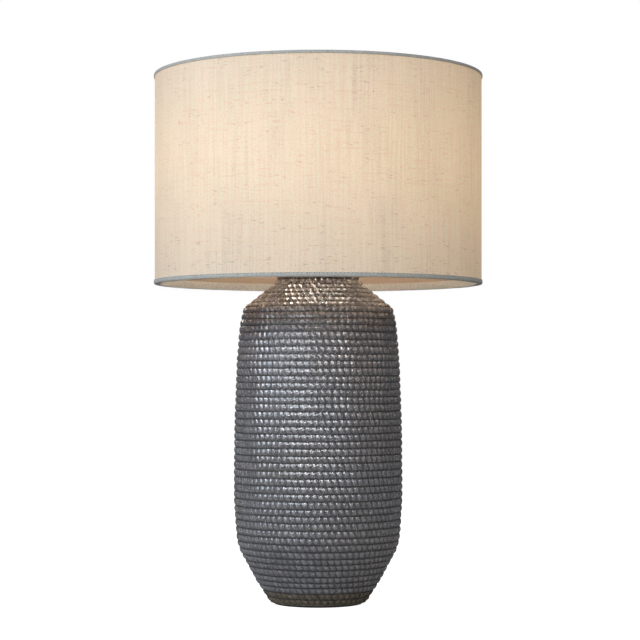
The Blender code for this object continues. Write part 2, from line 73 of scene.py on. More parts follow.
AXIS = Vector((0, 0, 1))
NUT_BORE = 5.15  # millimetres
BULB_LEVEL = 0.512  # metres, the middle of the bulb's globe
LOG = logging.getLogger("table_lamp")

Corner = tuple[float, float, float]
Colour = tuple[float, float, float]
Place = tuple[float, float, float]
Scales = tuple[float, float, float]
Shape = bmesh.types.BMesh


class Body(Enum):
    """The moving bodies of the frame."""

    BASE = "base"
    SWITCH = "switch"
    ENVELOPE = "bulb_envelope"
    SCREW = "bulb_base"
    HARP = "harp"
    SLEEVE_LEFT = "sleeve_left"
    SLEEVE_RIGHT = "sleeve_right"
    SHADE = "shade"
    FINIAL_THREAD = "finial_thread"
    FINIAL = "finial"


class Slot(Enum):
    """The record's material slots."""

    STONEWARE = "glazed_stoneware"
    FELT = "felt"
    GROMMET = "grommet_rubber"
    GASKET = "gasket_rubber"
    ZINC = "zinc_steel"
    BRASS = "brass"
    SOCKET_BRASS = "socket_brass"
    FIBRE = "fibre_board"
    RESIN = "moulded_resin"
    KNOB = "knob_black"
    OPAL = "opal_glass"
    NICKEL = "bulb_nickel"
    BASE_GLASS = "base_glass"
    STEM_GLASS = "stem_glass"
    FILAMENT = "filament"
    LINEN = "linen"
    LINER = "liner"
    BINDING = "binding"


@dataclass(frozen=True)
class Seat:
    """The room that one plain solid takes in the frame, in millimetres."""

    low: Vector
    high: Vector

    @classmethod
    def of(cls, node: str) -> "Seat":
        """Reads the room of a node from the frame."""
        low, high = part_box(node)
        return cls(low / MM, high / MM)

    @property
    def radius(self) -> float:
        """Half of the width along X."""
        return (self.high.x - self.low.x) / 2

    @property
    def bottom(self) -> float:
        """Lowest level."""
        return self.low.z

    @property
    def top(self) -> float:
        """Highest level."""
        return self.high.z

    @property
    def height(self) -> float:
        """Height from lowest to highest level."""
        return self.high.z - self.low.z

    @property
    def depth(self) -> float:
        """Length along Y."""
        return self.high.y - self.low.y

    @property
    def middle(self) -> Vector:
        """Centre of the room."""
        return (self.low + self.high) / 2


# ---- Shaping ---------------------------------------------------------------------------------
def rounded(corners: Sequence[Corner], arc_steps: int = 4, closed: bool = False) -> list[Vector]:
    """Draws an outline with an arc at each corner that has a fillet.

    Args:
        corners: Two coordinates and a fillet radius for each corner.
        arc_steps: Segments in each arc.
        closed: Whether the last corner runs on to the first.

    Returns:
        The outline's points, two coordinates each.
    """
    points: list[Vector] = []
    count = len(corners)
    for index, (across, up, fillet) in enumerate(corners):
        here = Vector((across, up))
        inside = closed or 0 < index < count - 1
        if fillet <= 0 or not inside:
            points.append(here)
            continue
        before = Vector(corners[index - 1][:2]) - here
        after = Vector(corners[(index + 1) % count][:2]) - here
        half = before.angle(after) / 2
        reach = min(fillet / math.tan(half), before.length * 0.49, after.length * 0.49)
        radius = reach * math.tan(half)
        bisector = (before.normalized() + after.normalized()).normalized()
        centre = here + bisector * (radius / math.sin(half))
        start = here + before.normalized() * reach - centre
        turn = start.angle_signed(here + after.normalized() * reach - centre)
        for step in range(arc_steps + 1):
            bend = Matrix.Rotation(-turn * step / arc_steps, 2)
            points.append(centre + bend @ start)
    return points


def polyline(bm: Shape, points: Sequence[Sequence[float]], closed: bool = False
             ) -> tuple[list[bmesh.types.BMVert], list[bmesh.types.BMEdge]]:
    """Draws vertices and the edges that join them in order.

    Args:
        bm: The shape to draw in.
        points: Three coordinates for each vertex.
        closed: Whether an edge joins the last vertex to the first.

    Returns:
        The vertices and the edges.
    """
    verts = [bm.verts.new(point) for point in points]
    follow = verts[1:] + verts[:1] if closed else verts[1:]
    return verts, [bm.edges.new(pair) for pair in zip(verts, follow)]


def full_spin(bm: Shape, outline: list, steps: int) -> None:
    """Turns an outline a whole turn about the lamp's axis, with its seam merged."""
    bmesh.ops.spin(bm, geom=outline, cent=(0, 0, 0), axis=AXIS, angle=FULL_TURN, steps=steps,
                   use_merge=True)


def verts_of(geometry: list) -> list[bmesh.types.BMVert]:
    """Picks the vertices out of what an operator made."""
    return [item for item in geometry if isinstance(item, bmesh.types.BMVert)]


def draw_in(vert: bmesh.types.BMVert, share: float) -> None:
    """Moves a vertex towards the lamp's axis by a share of its reach."""
    vert.co.x *= 1 - share
    vert.co.y *= 1 - share


def cut_across(bm: Shape, place: float) -> None:
    """Cuts a shape's faces along the upright plane at one place on X."""
    bmesh.ops.bisect_plane(bm, geom=bm.verts[:] + bm.edges[:] + bm.faces[:],
                           plane_co=(place, 0, 0), plane_no=(1, 0, 0), dist=1e-4)


def lathe(corners: Sequence[Corner], steps: int = 64, arc_steps: int = 4) -> Shape:
    """Turns an outline of radius and height about the lamp's axis.

    Args:
        corners: Outline corners; a ring's outline closes, a solid's starts and ends at radius 0.
        steps: Segments round the turn.
        arc_steps: Segments in each rounded corner.

    Returns:
        A closed shell with its faces pointing out.
    """
    ring = corners[0][0] > 0 or corners[-1][0] > 0
    outline = rounded(corners, arc_steps, closed=ring)
    bm = bmesh.new()
    verts, edges = polyline(bm, [(point.x, 0, point.y) for point in outline], closed=ring)
    full_spin(bm, verts + edges, steps)
    bmesh.ops.remove_doubles(bm, verts=bm.verts[:], dist=1e-3)
    bmesh.ops.recalc_face_normals(bm, faces=bm.faces[:])
    return bm


def washer(inner: float, outer: float, bottom: float, top: float, edge: float = 0.2,
           steps: int = 64) -> Shape:
    """Turns a ring of rectangular section with eased edges."""
    corners = [(inner, bottom, edge), (outer, bottom, edge), (outer, top, edge), (inner, top, edge)]
    return lathe(corners, steps, arc_steps=2)


def turned_to(bm: Shape, direction: Vector, at: Vector) -> Shape:
    """Turns a shape so that its axis points along direction, and moves it to a place."""
    matrix = Matrix.Translation(at) @ AXIS.rotation_difference(direction).to_matrix().to_4x4()
    bmesh.ops.transform(bm, matrix=matrix, verts=bm.verts[:])
    return bm


def joined(*shapes: Shape) -> Shape:
    """Puts several shapes into one mesh, each still a closed shell."""
    whole = bmesh.new()
    for shape in shapes:
        part = bpy.data.meshes.new("part")
        shape.to_mesh(part)
        shape.free()
        whole.from_mesh(part)
        bpy.data.meshes.remove(part)
    return whole


def sweep(line: Sequence[Vector], radius: float, sides: int) -> Shape:
    """Draws a round wire along an outline that stands upright over the X axis.

    Args:
        line: Place along X and level of each point of the wire's middle line.
        radius: Radius of the wire.
        sides: Flats round the wire.

    Returns:
        A closed shell.
    """
    path = [Vector((point.x, 0, point.y)) for point in line]
    ahead = path[1] - path[0]
    turn = AXIS.rotation_difference(ahead)
    frames = []
    for before, point, after in zip(path[:1] + path, path, path[1:] + path[-1:]):
        heading = (after - before).normalized()
        turn = ahead.rotation_difference(heading) @ turn
        ahead = heading
        frames.append(Matrix.Translation(point) @ turn.to_matrix().to_4x4())
    bm = bmesh.new()
    bmesh.ops.create_circle(bm, cap_ends=True, segments=sides, radius=radius, matrix=frames[0])
    edges = bm.edges[:]
    for last, following in zip(frames, frames[1:]):
        grown = bmesh.ops.extrude_edge_only(bm, edges=edges)["geom"]
        verts = verts_of(grown)
        edges = [item for item in grown if isinstance(item, bmesh.types.BMEdge)
                 and all(vert in verts for vert in item.verts)]
        bmesh.ops.transform(bm, matrix=following @ last.inverted(), verts=verts)
    bmesh.ops.contextual_create(bm, geom=edges)
    bmesh.ops.recalc_face_normals(bm, faces=bm.faces[:])
    return bm


def thread(radius: float, depth: float, pitch: float, bottom: float, top: float,
           steps_per_turn: int = 32) -> Shape:
    """Winds a ridge of thread round a core.

    Args:
        radius: Radius of the core under the ridge.
        depth: How far the ridge stands out.
        pitch: Rise in one turn.
        bottom: Level where the ridge starts.
        top: Level where it ends.
        steps_per_turn: Segments in one turn.

    Returns:
        A closed ridge, sunk a little into the core.
    """
    turns = (top - bottom - pitch) / pitch
    steps = max(2, round(turns * steps_per_turn))
    bm = bmesh.new()
    sink = 0.25 * depth
    section = [(radius - sink, 0), (radius + depth, 0.42 * pitch), (radius + depth, 0.58 * pitch),
               (radius - sink, pitch)]
    points = [(across, 0, bottom + rise) for across, rise in section]
    verts, edges = polyline(bm, points, closed=True)
    bmesh.ops.spin(bm, geom=verts + edges, cent=(0, 0, 0), axis=AXIS,
                   dvec=(0, 0, turns * pitch / steps), angle=turns * FULL_TURN, steps=steps)
    bmesh.ops.holes_fill(bm, edges=bm.edges[:])
    bmesh.ops.recalc_face_normals(bm, faces=bm.faces[:])
    return bm


def hex_nut(flats: float, bore: float, bottom: float, top: float) -> Shape:
    """Makes a chamfered hexagon nut with a round bore.

    Args:
        flats: Width across the flats.
        bore: Radius of the hole.
        bottom: Lower face's level.
        top: Upper face's level.

    Returns:
        A closed shell.
    """
    bm = bmesh.new()
    corner_radius = flats / math.sqrt(3)
    level = Matrix.Translation((0, 0, bottom))
    bmesh.ops.create_circle(bm, segments=6, radius=corner_radius, matrix=level)
    bmesh.ops.subdivide_edges(bm, edges=bm.edges[:], cuts=3)
    outer = bm.edges[:]
    hole = bmesh.ops.create_circle(bm, segments=24, radius=bore, matrix=level)["verts"]
    inner = [edge for edge in bm.edges if edge.verts[0] in hole]
    bmesh.ops.bridge_loops(bm, edges=outer + inner)
    grown = bmesh.ops.extrude_face_region(bm, geom=bm.faces[:])["geom"]
    bmesh.ops.translate(bm, verts=verts_of(grown), vec=(0, 0, top - bottom))
    bmesh.ops.recalc_face_normals(bm, faces=bm.faces[:])
    chamfer_start = flats / 2 + 0.15
    chamfer_slope = 0.5
    for vert in bm.verts:
        reach = vert.co.xy.length
        if reach > chamfer_start:
            lean = (reach - chamfer_start) * chamfer_slope
            vert.co.z += lean if vert.co.z < (bottom + top) / 2 else -lean
    return bm


def block(low: Sequence[float], high: Sequence[float], edge: float = 0.2) -> Shape:
    """Makes a box between two corners with eased edges."""
    bm = bmesh.new()
    bmesh.ops.create_cube(bm, size=1)
    first, last = Vector(low), Vector(high)
    bmesh.ops.scale(bm, vec=last - first, verts=bm.verts[:])
    bmesh.ops.translate(bm, vec=(first + last) / 2, verts=bm.verts[:])
    bmesh.ops.bevel(bm, geom=bm.edges[:], offset=edge, segments=2, profile=0.5,
                    affect="EDGES", material=-1)
    return bm


def cut_slot(bm: Shape, level: float, width: float, depth: float) -> Shape:
    """Presses a screwdriver slot along Y into the face of an upright screw head.

    Args:
        bm: The head, with its axis on the lamp's axis.
        level: Height of the head's face.
        width: Width of the slot.
        depth: Depth of the slot.

    Returns:
        The same shape, slotted.
    """
    for side in (-1, 1):
        for offset in (0.5, 0.46):
            cut_across(bm, side * width * offset)
    floor = width * 0.47
    for vert in bm.verts:
        if abs(vert.co.x) < floor and vert.co.z > level - depth:
            vert.co.z = level - depth
    return bm


def placed(name: str, data: bpy.types.ID) -> bpy.types.Object:
    """Makes an object of a mesh, light or camera and links it into the scene."""
    thing = bpy.data.objects.new(name, data)
    bpy.context.scene.collection.objects.link(thing)
    return thing


def finished(bm: Shape, name: str, sharp: float = 38.0) -> bpy.types.Object:
    """Brings a shape from millimetres to metres and makes it an object at the origin.

    Args:
        bm: The shape, freed afterwards.
        name: The piece's name.
        sharp: Edges that bend by more degrees stay crisp.

    Returns:
        The new object.
    """
    bmesh.ops.scale(bm, vec=(MM, MM, MM), verts=bm.verts[:])
    mesh = bpy.data.meshes.new(name)
    bm.to_mesh(mesh)
    bm.free()
    mesh.shade_smooth()
    mesh.set_sharp_from_angle(angle=math.radians(sharp))
    return placed(name, mesh)


# ---- Shader graphs ---------------------------------------------------------------------------
Value = float | Sequence[float] | bpy.types.NodeSocket


class Graph:
    """A node tree in the making."""

    def __init__(self, tree: bpy.types.NodeTree) -> None:
        """Starts on a tree."""
        self.tree = tree

    def add(self, kind: str, inputs: dict[str | int, Value] | None = None,
            **options: object) -> bpy.types.Node:
        """Adds a node.

        Args:
            kind: The node's type name.
            inputs: Constants and links for its sockets.
            **options: Settings of the node itself.

        Returns:
            The node.
        """
        node = self.tree.nodes.new(kind)
        for key, option in options.items():
            setattr(node, key, option)
        self.fill(node, inputs or {})
        return node

    def fill(self, node: bpy.types.Node, inputs: dict[str | int, Value]) -> None:
        """Feeds several sockets of a node."""
        for key, value in inputs.items():
            self.feed(node.inputs[key], value)

    def feed(self, socket: bpy.types.NodeSocket, value: Value) -> None:
        """Links a socket to another one, or sets its constant; a colour gets full alpha."""
        if isinstance(value, bpy.types.NodeSocket):
            self.tree.links.new(value, socket)
        elif socket.type == "RGBA":
            socket.default_value = (*value[:3], 1.0)
        else:
            socket.default_value = value

    def math(self, operation: str, first: Value, second: Value = 0.0, third: Value = 0.0,
             clamp: bool = False) -> bpy.types.NodeSocket:
        """Combines up to three numbers."""
        node = self.add("ShaderNodeMath", {0: first, 1: second, 2: third},
                        operation=operation, use_clamp=clamp)
        return node.outputs[0]

    def times(self, first: Value, second: Value) -> bpy.types.NodeSocket:
        """Multiplies two numbers."""
        return self.math("MULTIPLY", first, second)

    def linear(self, value: Value, slope: Value, start: Value) -> bpy.types.NodeSocket:
        """Multiplies a number by a slope and adds a start."""
        return self.math("MULTIPLY_ADD", value, slope, start)

    def vector(self, operation: str, first: Value, second: Value = (0, 0, 0),
               output: str = "Vector") -> bpy.types.NodeSocket:
        """Combines two vectors."""
        node = self.add("ShaderNodeVectorMath", {0: first, 1: second}, operation=operation)
        return node.outputs[output]

    def mix(self, factor: Value, first: Value, second: Value,
            mode: str = "MIX") -> bpy.types.NodeSocket:
        """Mixes two colours."""
        node = self.add("ShaderNodeMix", {0: factor}, data_type="RGBA", blend_type=mode)
        self.feed(node.inputs[6], first)
        self.feed(node.inputs[7], second)
        return node.outputs[2]

    def dimmed(self, colour: Value, amount: Value) -> bpy.types.NodeSocket:
        """Multiplies a colour by a number."""
        grey = self.add("ShaderNodeCombineColor", {0: amount, 1: amount, 2: amount})
        return self.mix(1.0, colour, grey.outputs[0], "MULTIPLY")

    def step(self, value: Value, start: float, end: float, low: float = 0.0,
             high: float = 1.0) -> bpy.types.NodeSocket:
        """Brings a value smoothly from low at start to high at end."""
        sockets = {"Value": value, "From Min": start, "From Max": end, "To Min": low,
                   "To Max": high}
        node = self.add("ShaderNodeMapRange", sockets, interpolation_type="SMOOTHSTEP")
        return node.outputs["Result"]

    def noise(self, vector: Value, scale: float, detail: float = 2.0,
              roughness: float = 0.5) -> bpy.types.NodeSocket:
        """Samples a noise from 0 to 1."""
        sockets = {"Vector": vector, "Scale": scale, "Detail": detail, "Roughness": roughness}
        return self.add("ShaderNodeTexNoise", sockets).outputs[0]

    def drawn_noise(self, vector: Value, scales: Sequence[float], detail: float,
                    roughness: float) -> bpy.types.NodeSocket:
        """Samples a noise that has a scale of its own along each axis."""
        return self.noise(self.vector("MULTIPLY", vector, scales), 1.0, detail, roughness)

    def use(self, group: bpy.types.NodeTree, inputs: dict[str, Value]) -> bpy.types.Node:
        """Places a node group."""
        node = self.tree.nodes.new("ShaderNodeGroup")
        node.node_tree = group
        self.fill(node, inputs)
        return node

    def objects(self) -> bpy.types.NodeSocket:
        """Gives the piece's own coordinates in metres."""
        return self.add("ShaderNodeTexCoord").outputs["Object"]

    def surface(self, name: str) -> bpy.types.NodeSocket:
        """Gives one of the piece's own UV maps."""
        return self.add("ShaderNodeUVMap", uv_map=name).outputs["UV"]


def shaded(colour: Colour, share: float) -> Colour:
    """Makes a colour darker, to a share of each part."""
    return tuple(share * part for part in colour)


class SurfaceEffects:
    """Node groups that several finishes share."""

    def __init__(self) -> None:
        """Builds each group once."""
        self.mottle = self.make_mottle()
        self.turning = self.make_turning()
        self.weave = self.make_weave()
        self.dust = self.make_dust()

    @staticmethod
    def start(name: str, inputs: dict[str, str], outputs: dict[str, str]
              ) -> tuple[Graph, bpy.types.Node, bpy.types.Node]:
        """Starts a group.

        Args:
            name: The group's name.
            inputs: Its inputs and their socket kinds.
            outputs: Its outputs and their socket kinds.

        Returns:
            Its graph, its input node and its output node.
        """
        tree = bpy.data.node_groups.new(name, "ShaderNodeTree")
        for direction, sockets in (("INPUT", inputs), ("OUTPUT", outputs)):
            for label, kind in sockets.items():
                tree.interface.new_socket(name=label, in_out=direction,
                                          socket_type=f"NodeSocket{kind}")
        graph = Graph(tree)
        return graph, graph.add("NodeGroupInput"), graph.add("NodeGroupOutput")

    def make_mottle(self) -> bpy.types.NodeTree:
        """Cloudy variation: a broad and a fine mask."""
        graph, given, result = self.start(
            "mottle", {"Vector": "Vector", "Size": "Float"}, {"Broad": "Float", "Fine": "Float"})
        spread = graph.vector("SCALE", given.outputs["Vector"])
        graph.feed(spread.node.inputs["Scale"], graph.math("DIVIDE", 1.0, given.outputs["Size"]))
        broad = graph.noise(spread, 1.0, 3.0, 0.55)
        fine = graph.noise(spread, 9.0, 3.0, 0.6)
        graph.feed(result.inputs["Broad"], graph.step(broad, 0.3, 0.7))
        graph.feed(result.inputs["Fine"], graph.step(fine, 0.3, 0.7))
        return graph.tree

    def make_turning(self) -> bpy.types.NodeTree:
        """Fine rings that a cutting tool leaves round the axis."""
        graph, given, result = self.start("turning", {"Vector": "Vector"}, {"Height": "Float"})
        parts = graph.add("ShaderNodeSeparateXYZ", {0: given.outputs["Vector"]})
        flat = graph.vector("MULTIPLY", given.outputs["Vector"], (1, 1, 0))
        reach = graph.vector("LENGTH", flat, output="Value")
        rings = graph.add("ShaderNodeCombineXYZ", {0: reach, 1: parts.outputs["Z"]})
        graph.feed(result.inputs["Height"], graph.noise(rings.outputs[0], 5200.0, 2.0, 0.6))
        return graph.tree

    def make_weave(self) -> bpy.types.NodeTree:
        """Plain weave over a cloth's own coordinates in metres."""
        graph, given, result = self.start(
            "weave", {"Vector": "Vector", "Threads": "Float"}, {"Height": "Float"})
        spread = graph.vector("SCALE", given.outputs["Vector"])
        graph.feed(spread.node.inputs["Scale"], given.outputs["Threads"])
        parts = graph.add("ShaderNodeSeparateXYZ", {0: spread})
        warp, weft = (graph.math("ABSOLUTE", graph.math("SINE", graph.times(part, math.pi)))
                      for part in (parts.outputs["X"], parts.outputs["Y"]))
        cells = graph.math("ADD", graph.math("FLOOR", parts.outputs["X"]),
                           graph.math("FLOOR", parts.outputs["Y"]))
        over = graph.math("FLOORED_MODULO", cells, 2.0)
        crossing = graph.add("ShaderNodeMix", {0: over, 2: warp, 3: weft})
        graph.feed(result.inputs["Height"], crossing.outputs[0])
        return graph.tree

    def make_dust(self) -> bpy.types.NodeTree:
        """Mask of the dust that settles on faces that look up."""
        graph, given, result = self.start(
            "dust", {"Vector": "Vector", "Amount": "Float"}, {"Mask": "Float"})
        normal = graph.add("ShaderNodeNewGeometry").outputs["Normal"]
        upward = graph.add("ShaderNodeSeparateXYZ", {0: normal}).outputs["Z"]
        lying = graph.step(upward, 0.6, 1.0)
        patch = graph.step(graph.noise(given.outputs["Vector"], 220.0, 4.0, 0.7), 0.35, 0.75)
        mask = graph.times(lying, patch)
        graph.feed(result.inputs["Mask"], graph.times(mask, given.outputs["Amount"]))
        return graph.tree


EFFECTS = SurfaceEffects()


@dataclass(frozen=True)
class Finish:
    """What every finish has: a name, a colour, a roughness and the size of its patches."""

    patch_size: ClassVar[float] = 0.012
    name: str
    colour: Colour
    roughness: float

    def start(self) -> tuple[bpy.types.Material, Graph, bpy.types.Node]:
        """Starts the material.

        Returns:
            The material, its graph and its shader.
        """
        material = bpy.data.materials.new(self.name)
        material.use_nodes = True
        graph = Graph(material.node_tree)
        shader = material.node_tree.nodes["Principled BSDF"]
        graph.fill(shader, {"Base Color": self.colour, "Roughness": self.roughness})
        return material, graph, shader

    def mottled(self, graph: Graph, place: Value) -> bpy.types.bpy_prop_collection:
        """Places the cloudy masks, with patches of the finish's own size."""
        return graph.use(EFFECTS.mottle, {"Vector": place, "Size": self.patch_size}).outputs

    def relief(self, graph: Graph, shader: bpy.types.Node, height: Value, depth: float) -> None:
        """Gives the shader a bump of a height map times a depth in metres."""
        bump = graph.add("ShaderNodeBump", {"Height": height, "Distance": depth, "Strength": 1.0})
        graph.feed(shader.inputs["Normal"], bump.outputs[0])


@dataclass(frozen=True)
class GlazedStoneware(Finish):
    """Blue-grey glaze over beaded coils, with bare clay at the foot and inside."""

    patch_size: ClassVar[float] = 0.085
    warm: Colour = (0.215, 0.165, 0.140)
    # Near-black tone for the hollows: partly glaze pooling there, partly painted shade.
    pool_and_shade_tone: Colour = (0.028, 0.026, 0.028)
    # Light tone for the crests: glaze breaking thin there, and painted highlight for small glints.
    thin: Colour = (0.52, 0.52, 0.54)
    clay: Colour = (0.250, 0.205, 0.140)
    coil_map: str = "coils"
    bare_coils: float = 2.0
    shoulder_coil: float = 42.5
    warm_cover: float = 0.55
    break_and_glint_cover: float = 0.60
    pool_and_shade_cover: float = 0.93
    hollow_gloss: float = 0.25
    fleck_scales: Scales = (3.1, 2.6, 1.0)
    lobe_scales: Scales = (2.3, 1.9, 1.0)
    grain: float = 900.0
    coat_roughness: float = 0.10
    coat_ior: float = 2.4
    specular: float = 0.9
    relief_depth: float = 0.0040

    def material(self) -> bpy.types.Material:
        """Builds the glaze.

        Returns:
            The material.
        """
        material, graph, shader = self.start()
        place = graph.objects()
        coils = graph.surface(self.coil_map)
        parts = graph.add("ShaderNodeSeparateXYZ", {0: coils})
        along, across = parts.outputs["X"], parts.outputs["Y"]
        cell = graph.vector("FLOOR", coils)
        chance = graph.add("ShaderNodeTexWhiteNoise", {"Vector": cell}, noise_dimensions="2D")
        across_coil = graph.math("FRACT", across)
        groove = graph.step(self.from_middle(graph, across_coil), 0.56, 0.92)
        valley = graph.step(self.from_middle(graph, graph.math("FRACT", along)), 0.55, 0.98)
        hollow = graph.math("MAXIMUM", groove, graph.times(valley, 0.55))
        crest = graph.math("SUBTRACT", 1.0, hollow)
        # Painted shade: the lower half of each coil is made darker, as if it were shaded from the
        # light above.
        coil_underside_shade = graph.step(across_coil, 0.10, 0.60, 0.60, 1.0)

        mottle = self.mottled(graph, place)
        body = graph.mix(graph.times(mottle["Broad"], self.warm_cover), self.colour, self.warm)
        uneven = graph.step(chance.outputs["Value"], 0.0, 1.0, 0.80, 1.20)
        # The painted shade on each coil's lower half, times a random tone for each bead.
        body = graph.dimmed(body, graph.times(coil_underside_shade, uneven))
        flecks = graph.drawn_noise(coils, self.fleck_scales, 3.0, 0.7)
        # Lighter flecks on the bead crests: partly thin glaze, partly painted highlight standing in
        # for glints.
        crest_break_and_glint = graph.times(graph.step(flecks, 0.50, 0.70), crest)
        body = graph.mix(graph.times(crest_break_and_glint, self.break_and_glint_cover), body, self.thin)
        # Darker in the grooves and bead valleys: partly glaze pooling, partly painted shade.
        body = graph.mix(graph.times(hollow, self.pool_and_shade_cover), body, self.pool_and_shade_tone)

        glazed = graph.step(across, self.bare_coils - 0.06, self.bare_coils + 0.10)
        clay_tone = graph.mix(mottle["Fine"], self.clay, shaded(self.clay, 0.62))
        # Painted shade: the bare clay is darkened in the grooves and valleys.
        clay_tone = graph.mix(graph.times(hollow, 0.75), clay_tone, self.pool_and_shade_tone)
        graph.feed(shader.inputs["Base Color"], graph.mix(glazed, clay_tone, body))
        gloss_mask = graph.times(glazed, graph.linear(hollow, self.hollow_gloss - 1.0, 1.0))
        gloss = graph.step(mottle["Fine"], 0.0, 1.0, self.roughness - 0.08, self.roughness + 0.10)
        bare = graph.times(graph.math("SUBTRACT", 1.0, gloss_mask), 0.45)
        graph.feed(shader.inputs["Roughness"], graph.math("ADD", gloss, bare, clamp=True))
        graph.feed(shader.inputs["Coat Weight"], gloss_mask)
        graph.fill(shader, {"Coat Roughness": self.coat_roughness, "Coat IOR": self.coat_ior,
                            "Specular IOR Level": self.specular})

        lobes = graph.drawn_noise(coils, self.lobe_scales, 2.0, 0.6)
        shoulder = graph.step(across, self.shoulder_coil, self.shoulder_coil + 1.5)
        lean = graph.times(across_coil, graph.linear(shoulder, 0.8, 0.4))
        phase = graph.linear(along, 2.0, lean)
        phase = graph.linear(lobes, 1.1, phase)
        strands = graph.math("SINE", graph.times(phase, FULL_TURN))
        grain = graph.noise(place, self.grain, 3.0, 0.6)
        rise = graph.linear(grain, 0.10, lobes)
        rise = graph.linear(strands, 0.10, rise)
        rise = graph.linear(valley, -0.25, rise)
        self.relief(graph, shader, rise, self.relief_depth)
        return material

    @staticmethod
    def from_middle(graph: Graph, share: bpy.types.NodeSocket) -> bpy.types.NodeSocket:
        """Turns a share from 0 to 1 into the distance from its middle, 1 at either end."""
        return graph.math("ABSOLUTE", graph.linear(share, 2.0, -1.0))


@dataclass(frozen=True)
class SlubLinen(Finish):
    """Natural linen with uneven threads; the bulb's light through it is painted as emission."""

    streak_tone: Colour = (0.50, 0.43, 0.34)
    dash_tone: Colour = (0.36, 0.33, 0.29)
    slub_tone: Colour = (0.54, 0.44, 0.34)
    fleck_tone: Colour = (0.38, 0.33, 0.28)
    # Colour of the painted glow of the bulb through the cloth.
    glow: Colour = (0.500, 0.325, 0.160)
    slub_glow: Colour = (0.43, 0.27, 0.13)
    drum_radius: float = 0.190
    cloth_map: str = "cloth"
    threads: float = 1250.0
    streak_scales: Scales = (430.0, 11.0, 1.0)
    band_scales: Scales = (26.0, 4.0, 1.0)
    dash_scales: Scales = (120.0, 560.0, 1.0)
    group_scales: Scales = (30.0, 110.0, 1.0)
    slub_scales: Scales = (21.0, 360.0, 1.0)
    fibre_scales: Scales = (560.0, 520.0, 1.0)
    fleck_scale: float = 600.0
    sheen: float = 0.15
    specular: float = 0.25
    relief_depth: float = 0.00022

    def material(self) -> bpy.types.Material:
        """Builds the cloth.

        Returns:
            The material.
        """
        material, graph, shader = self.start()
        place = graph.objects()
        cloth = graph.surface(self.cloth_map)
        streak = graph.step(graph.drawn_noise(cloth, self.streak_scales, 2.0, 0.6), 0.34, 0.66)
        band = graph.step(graph.drawn_noise(cloth, self.band_scales, 2.0, 0.5), 0.35, 0.65)
        weft = graph.drawn_noise(cloth, self.dash_scales, 2.0, 0.6)
        groups = graph.step(graph.drawn_noise(cloth, self.group_scales, 2.0, 0.5), 0.46, 0.62)
        dash = graph.times(graph.step(weft, 0.55, 0.66), groups)
        slub = graph.step(graph.drawn_noise(cloth, self.slub_scales, 1.0, 0.5), 0.60, 0.72)
        fleck = graph.step(graph.noise(cloth, self.fleck_scale, 1.0, 0.5), 0.54, 0.66)
        fibre = graph.drawn_noise(cloth, self.fibre_scales, 2.0, 0.7)

        tone = self.colour
        for mask, cover, tint in ((streak, 0.16, self.streak_tone), (dash, 0.45, self.dash_tone),
                                  (slub, 0.25, self.slub_tone), (fleck, 0.22, self.fleck_tone)):
            tone = graph.mix(graph.times(mask, cover), tone, tint)
        graph.feed(shader.inputs["Base Color"], tone)

        # Painted light: the bulb's glow through the cloth is emission, brightest nearest the bulb
        # and weaker where the threads are thick.
        reach = graph.vector("DISTANCE", place, (0, 0, BULB_LEVEL), output="Value")
        near = graph.math("POWER", graph.math("DIVIDE", self.drum_radius, reach), 3.0)
        light = graph.linear(near, 0.85, 0.15)
        loss = graph.linear(graph.times(streak, band), -0.17, 1.0)
        for mask, share in ((streak, -0.09), (dash, -0.22), (fleck, -0.12)):
            loss = graph.linear(mask, share, loss)
        loss = graph.linear(graph.math("SUBTRACT", fibre, 0.5), -0.85, loss)
        lit = graph.dimmed(self.glow, graph.times(light, loss))
        lit = graph.mix(graph.times(slub, 0.30), lit, self.slub_glow)
        graph.fill(shader, {"Emission Color": lit, "Emission Strength": 1.0,
                            "Sheen Weight": self.sheen, "Specular IOR Level": self.specular})

        weave = graph.use(EFFECTS.weave, {"Vector": cloth, "Threads": self.threads})
        rise = graph.math("ADD", weave.outputs["Height"], graph.times(slub, 0.9))
        rise = graph.math("ADD", rise, graph.times(streak, 0.6))
        self.relief(graph, shader, rise, self.relief_depth)
        return material


@dataclass(frozen=True)
class RibbedBinding(Finish):
    """Blue-grey bias binding with fine ribs."""

    patch_size: ClassVar[float] = 0.02
    thread_colour: Colour = (0.055, 0.058, 0.062)

    def material(self) -> bpy.types.Material:
        """Builds the binding.

        Returns:
            The material.
        """
        material, graph, shader = self.start()
        place = graph.objects()
        mottle = self.mottled(graph, place)
        darker = shaded(self.colour, 0.55)
        tone = graph.mix(graph.times(mottle["Fine"], 0.55), self.colour, darker)
        specks = graph.step(graph.noise(place, 800.0, 2.0, 0.6), 0.58, 0.72)
        tone = graph.mix(graph.times(specks, 0.45), tone, self.thread_colour)
        graph.fill(shader, {"Base Color": tone, "Sheen Weight": 0.2, "Specular IOR Level": 0.2})
        self.relief(graph, shader, graph.noise(place, 1500.0, 2.0, 0.6), 0.0003)
        return material


@dataclass(frozen=True)
class StiffLiner(Finish):
    """Satin plastic film laminated behind the linen."""

    patch_size: ClassVar[float] = 0.05
    speck_tone: Colour = (0.22, 0.15, 0.10)

    def material(self) -> bpy.types.Material:
        """Builds the film, with the linen's threads showing through it."""
        material, graph, shader = self.start()
        place = graph.objects()
        mottle = self.mottled(graph, place)
        darker = shaded(self.colour, 0.86)
        tone = graph.mix(mottle["Broad"], self.colour, darker)
        specks = graph.step(graph.noise(place, 700.0, 2.0, 0.6), 0.60, 0.74)
        tone = graph.mix(graph.times(specks, 0.30), tone, self.speck_tone)
        graph.feed(shader.inputs["Base Color"], tone)
        self.relief(graph, shader, graph.noise(place, 420.0, 2.0, 0.5), 0.00015)
        return material


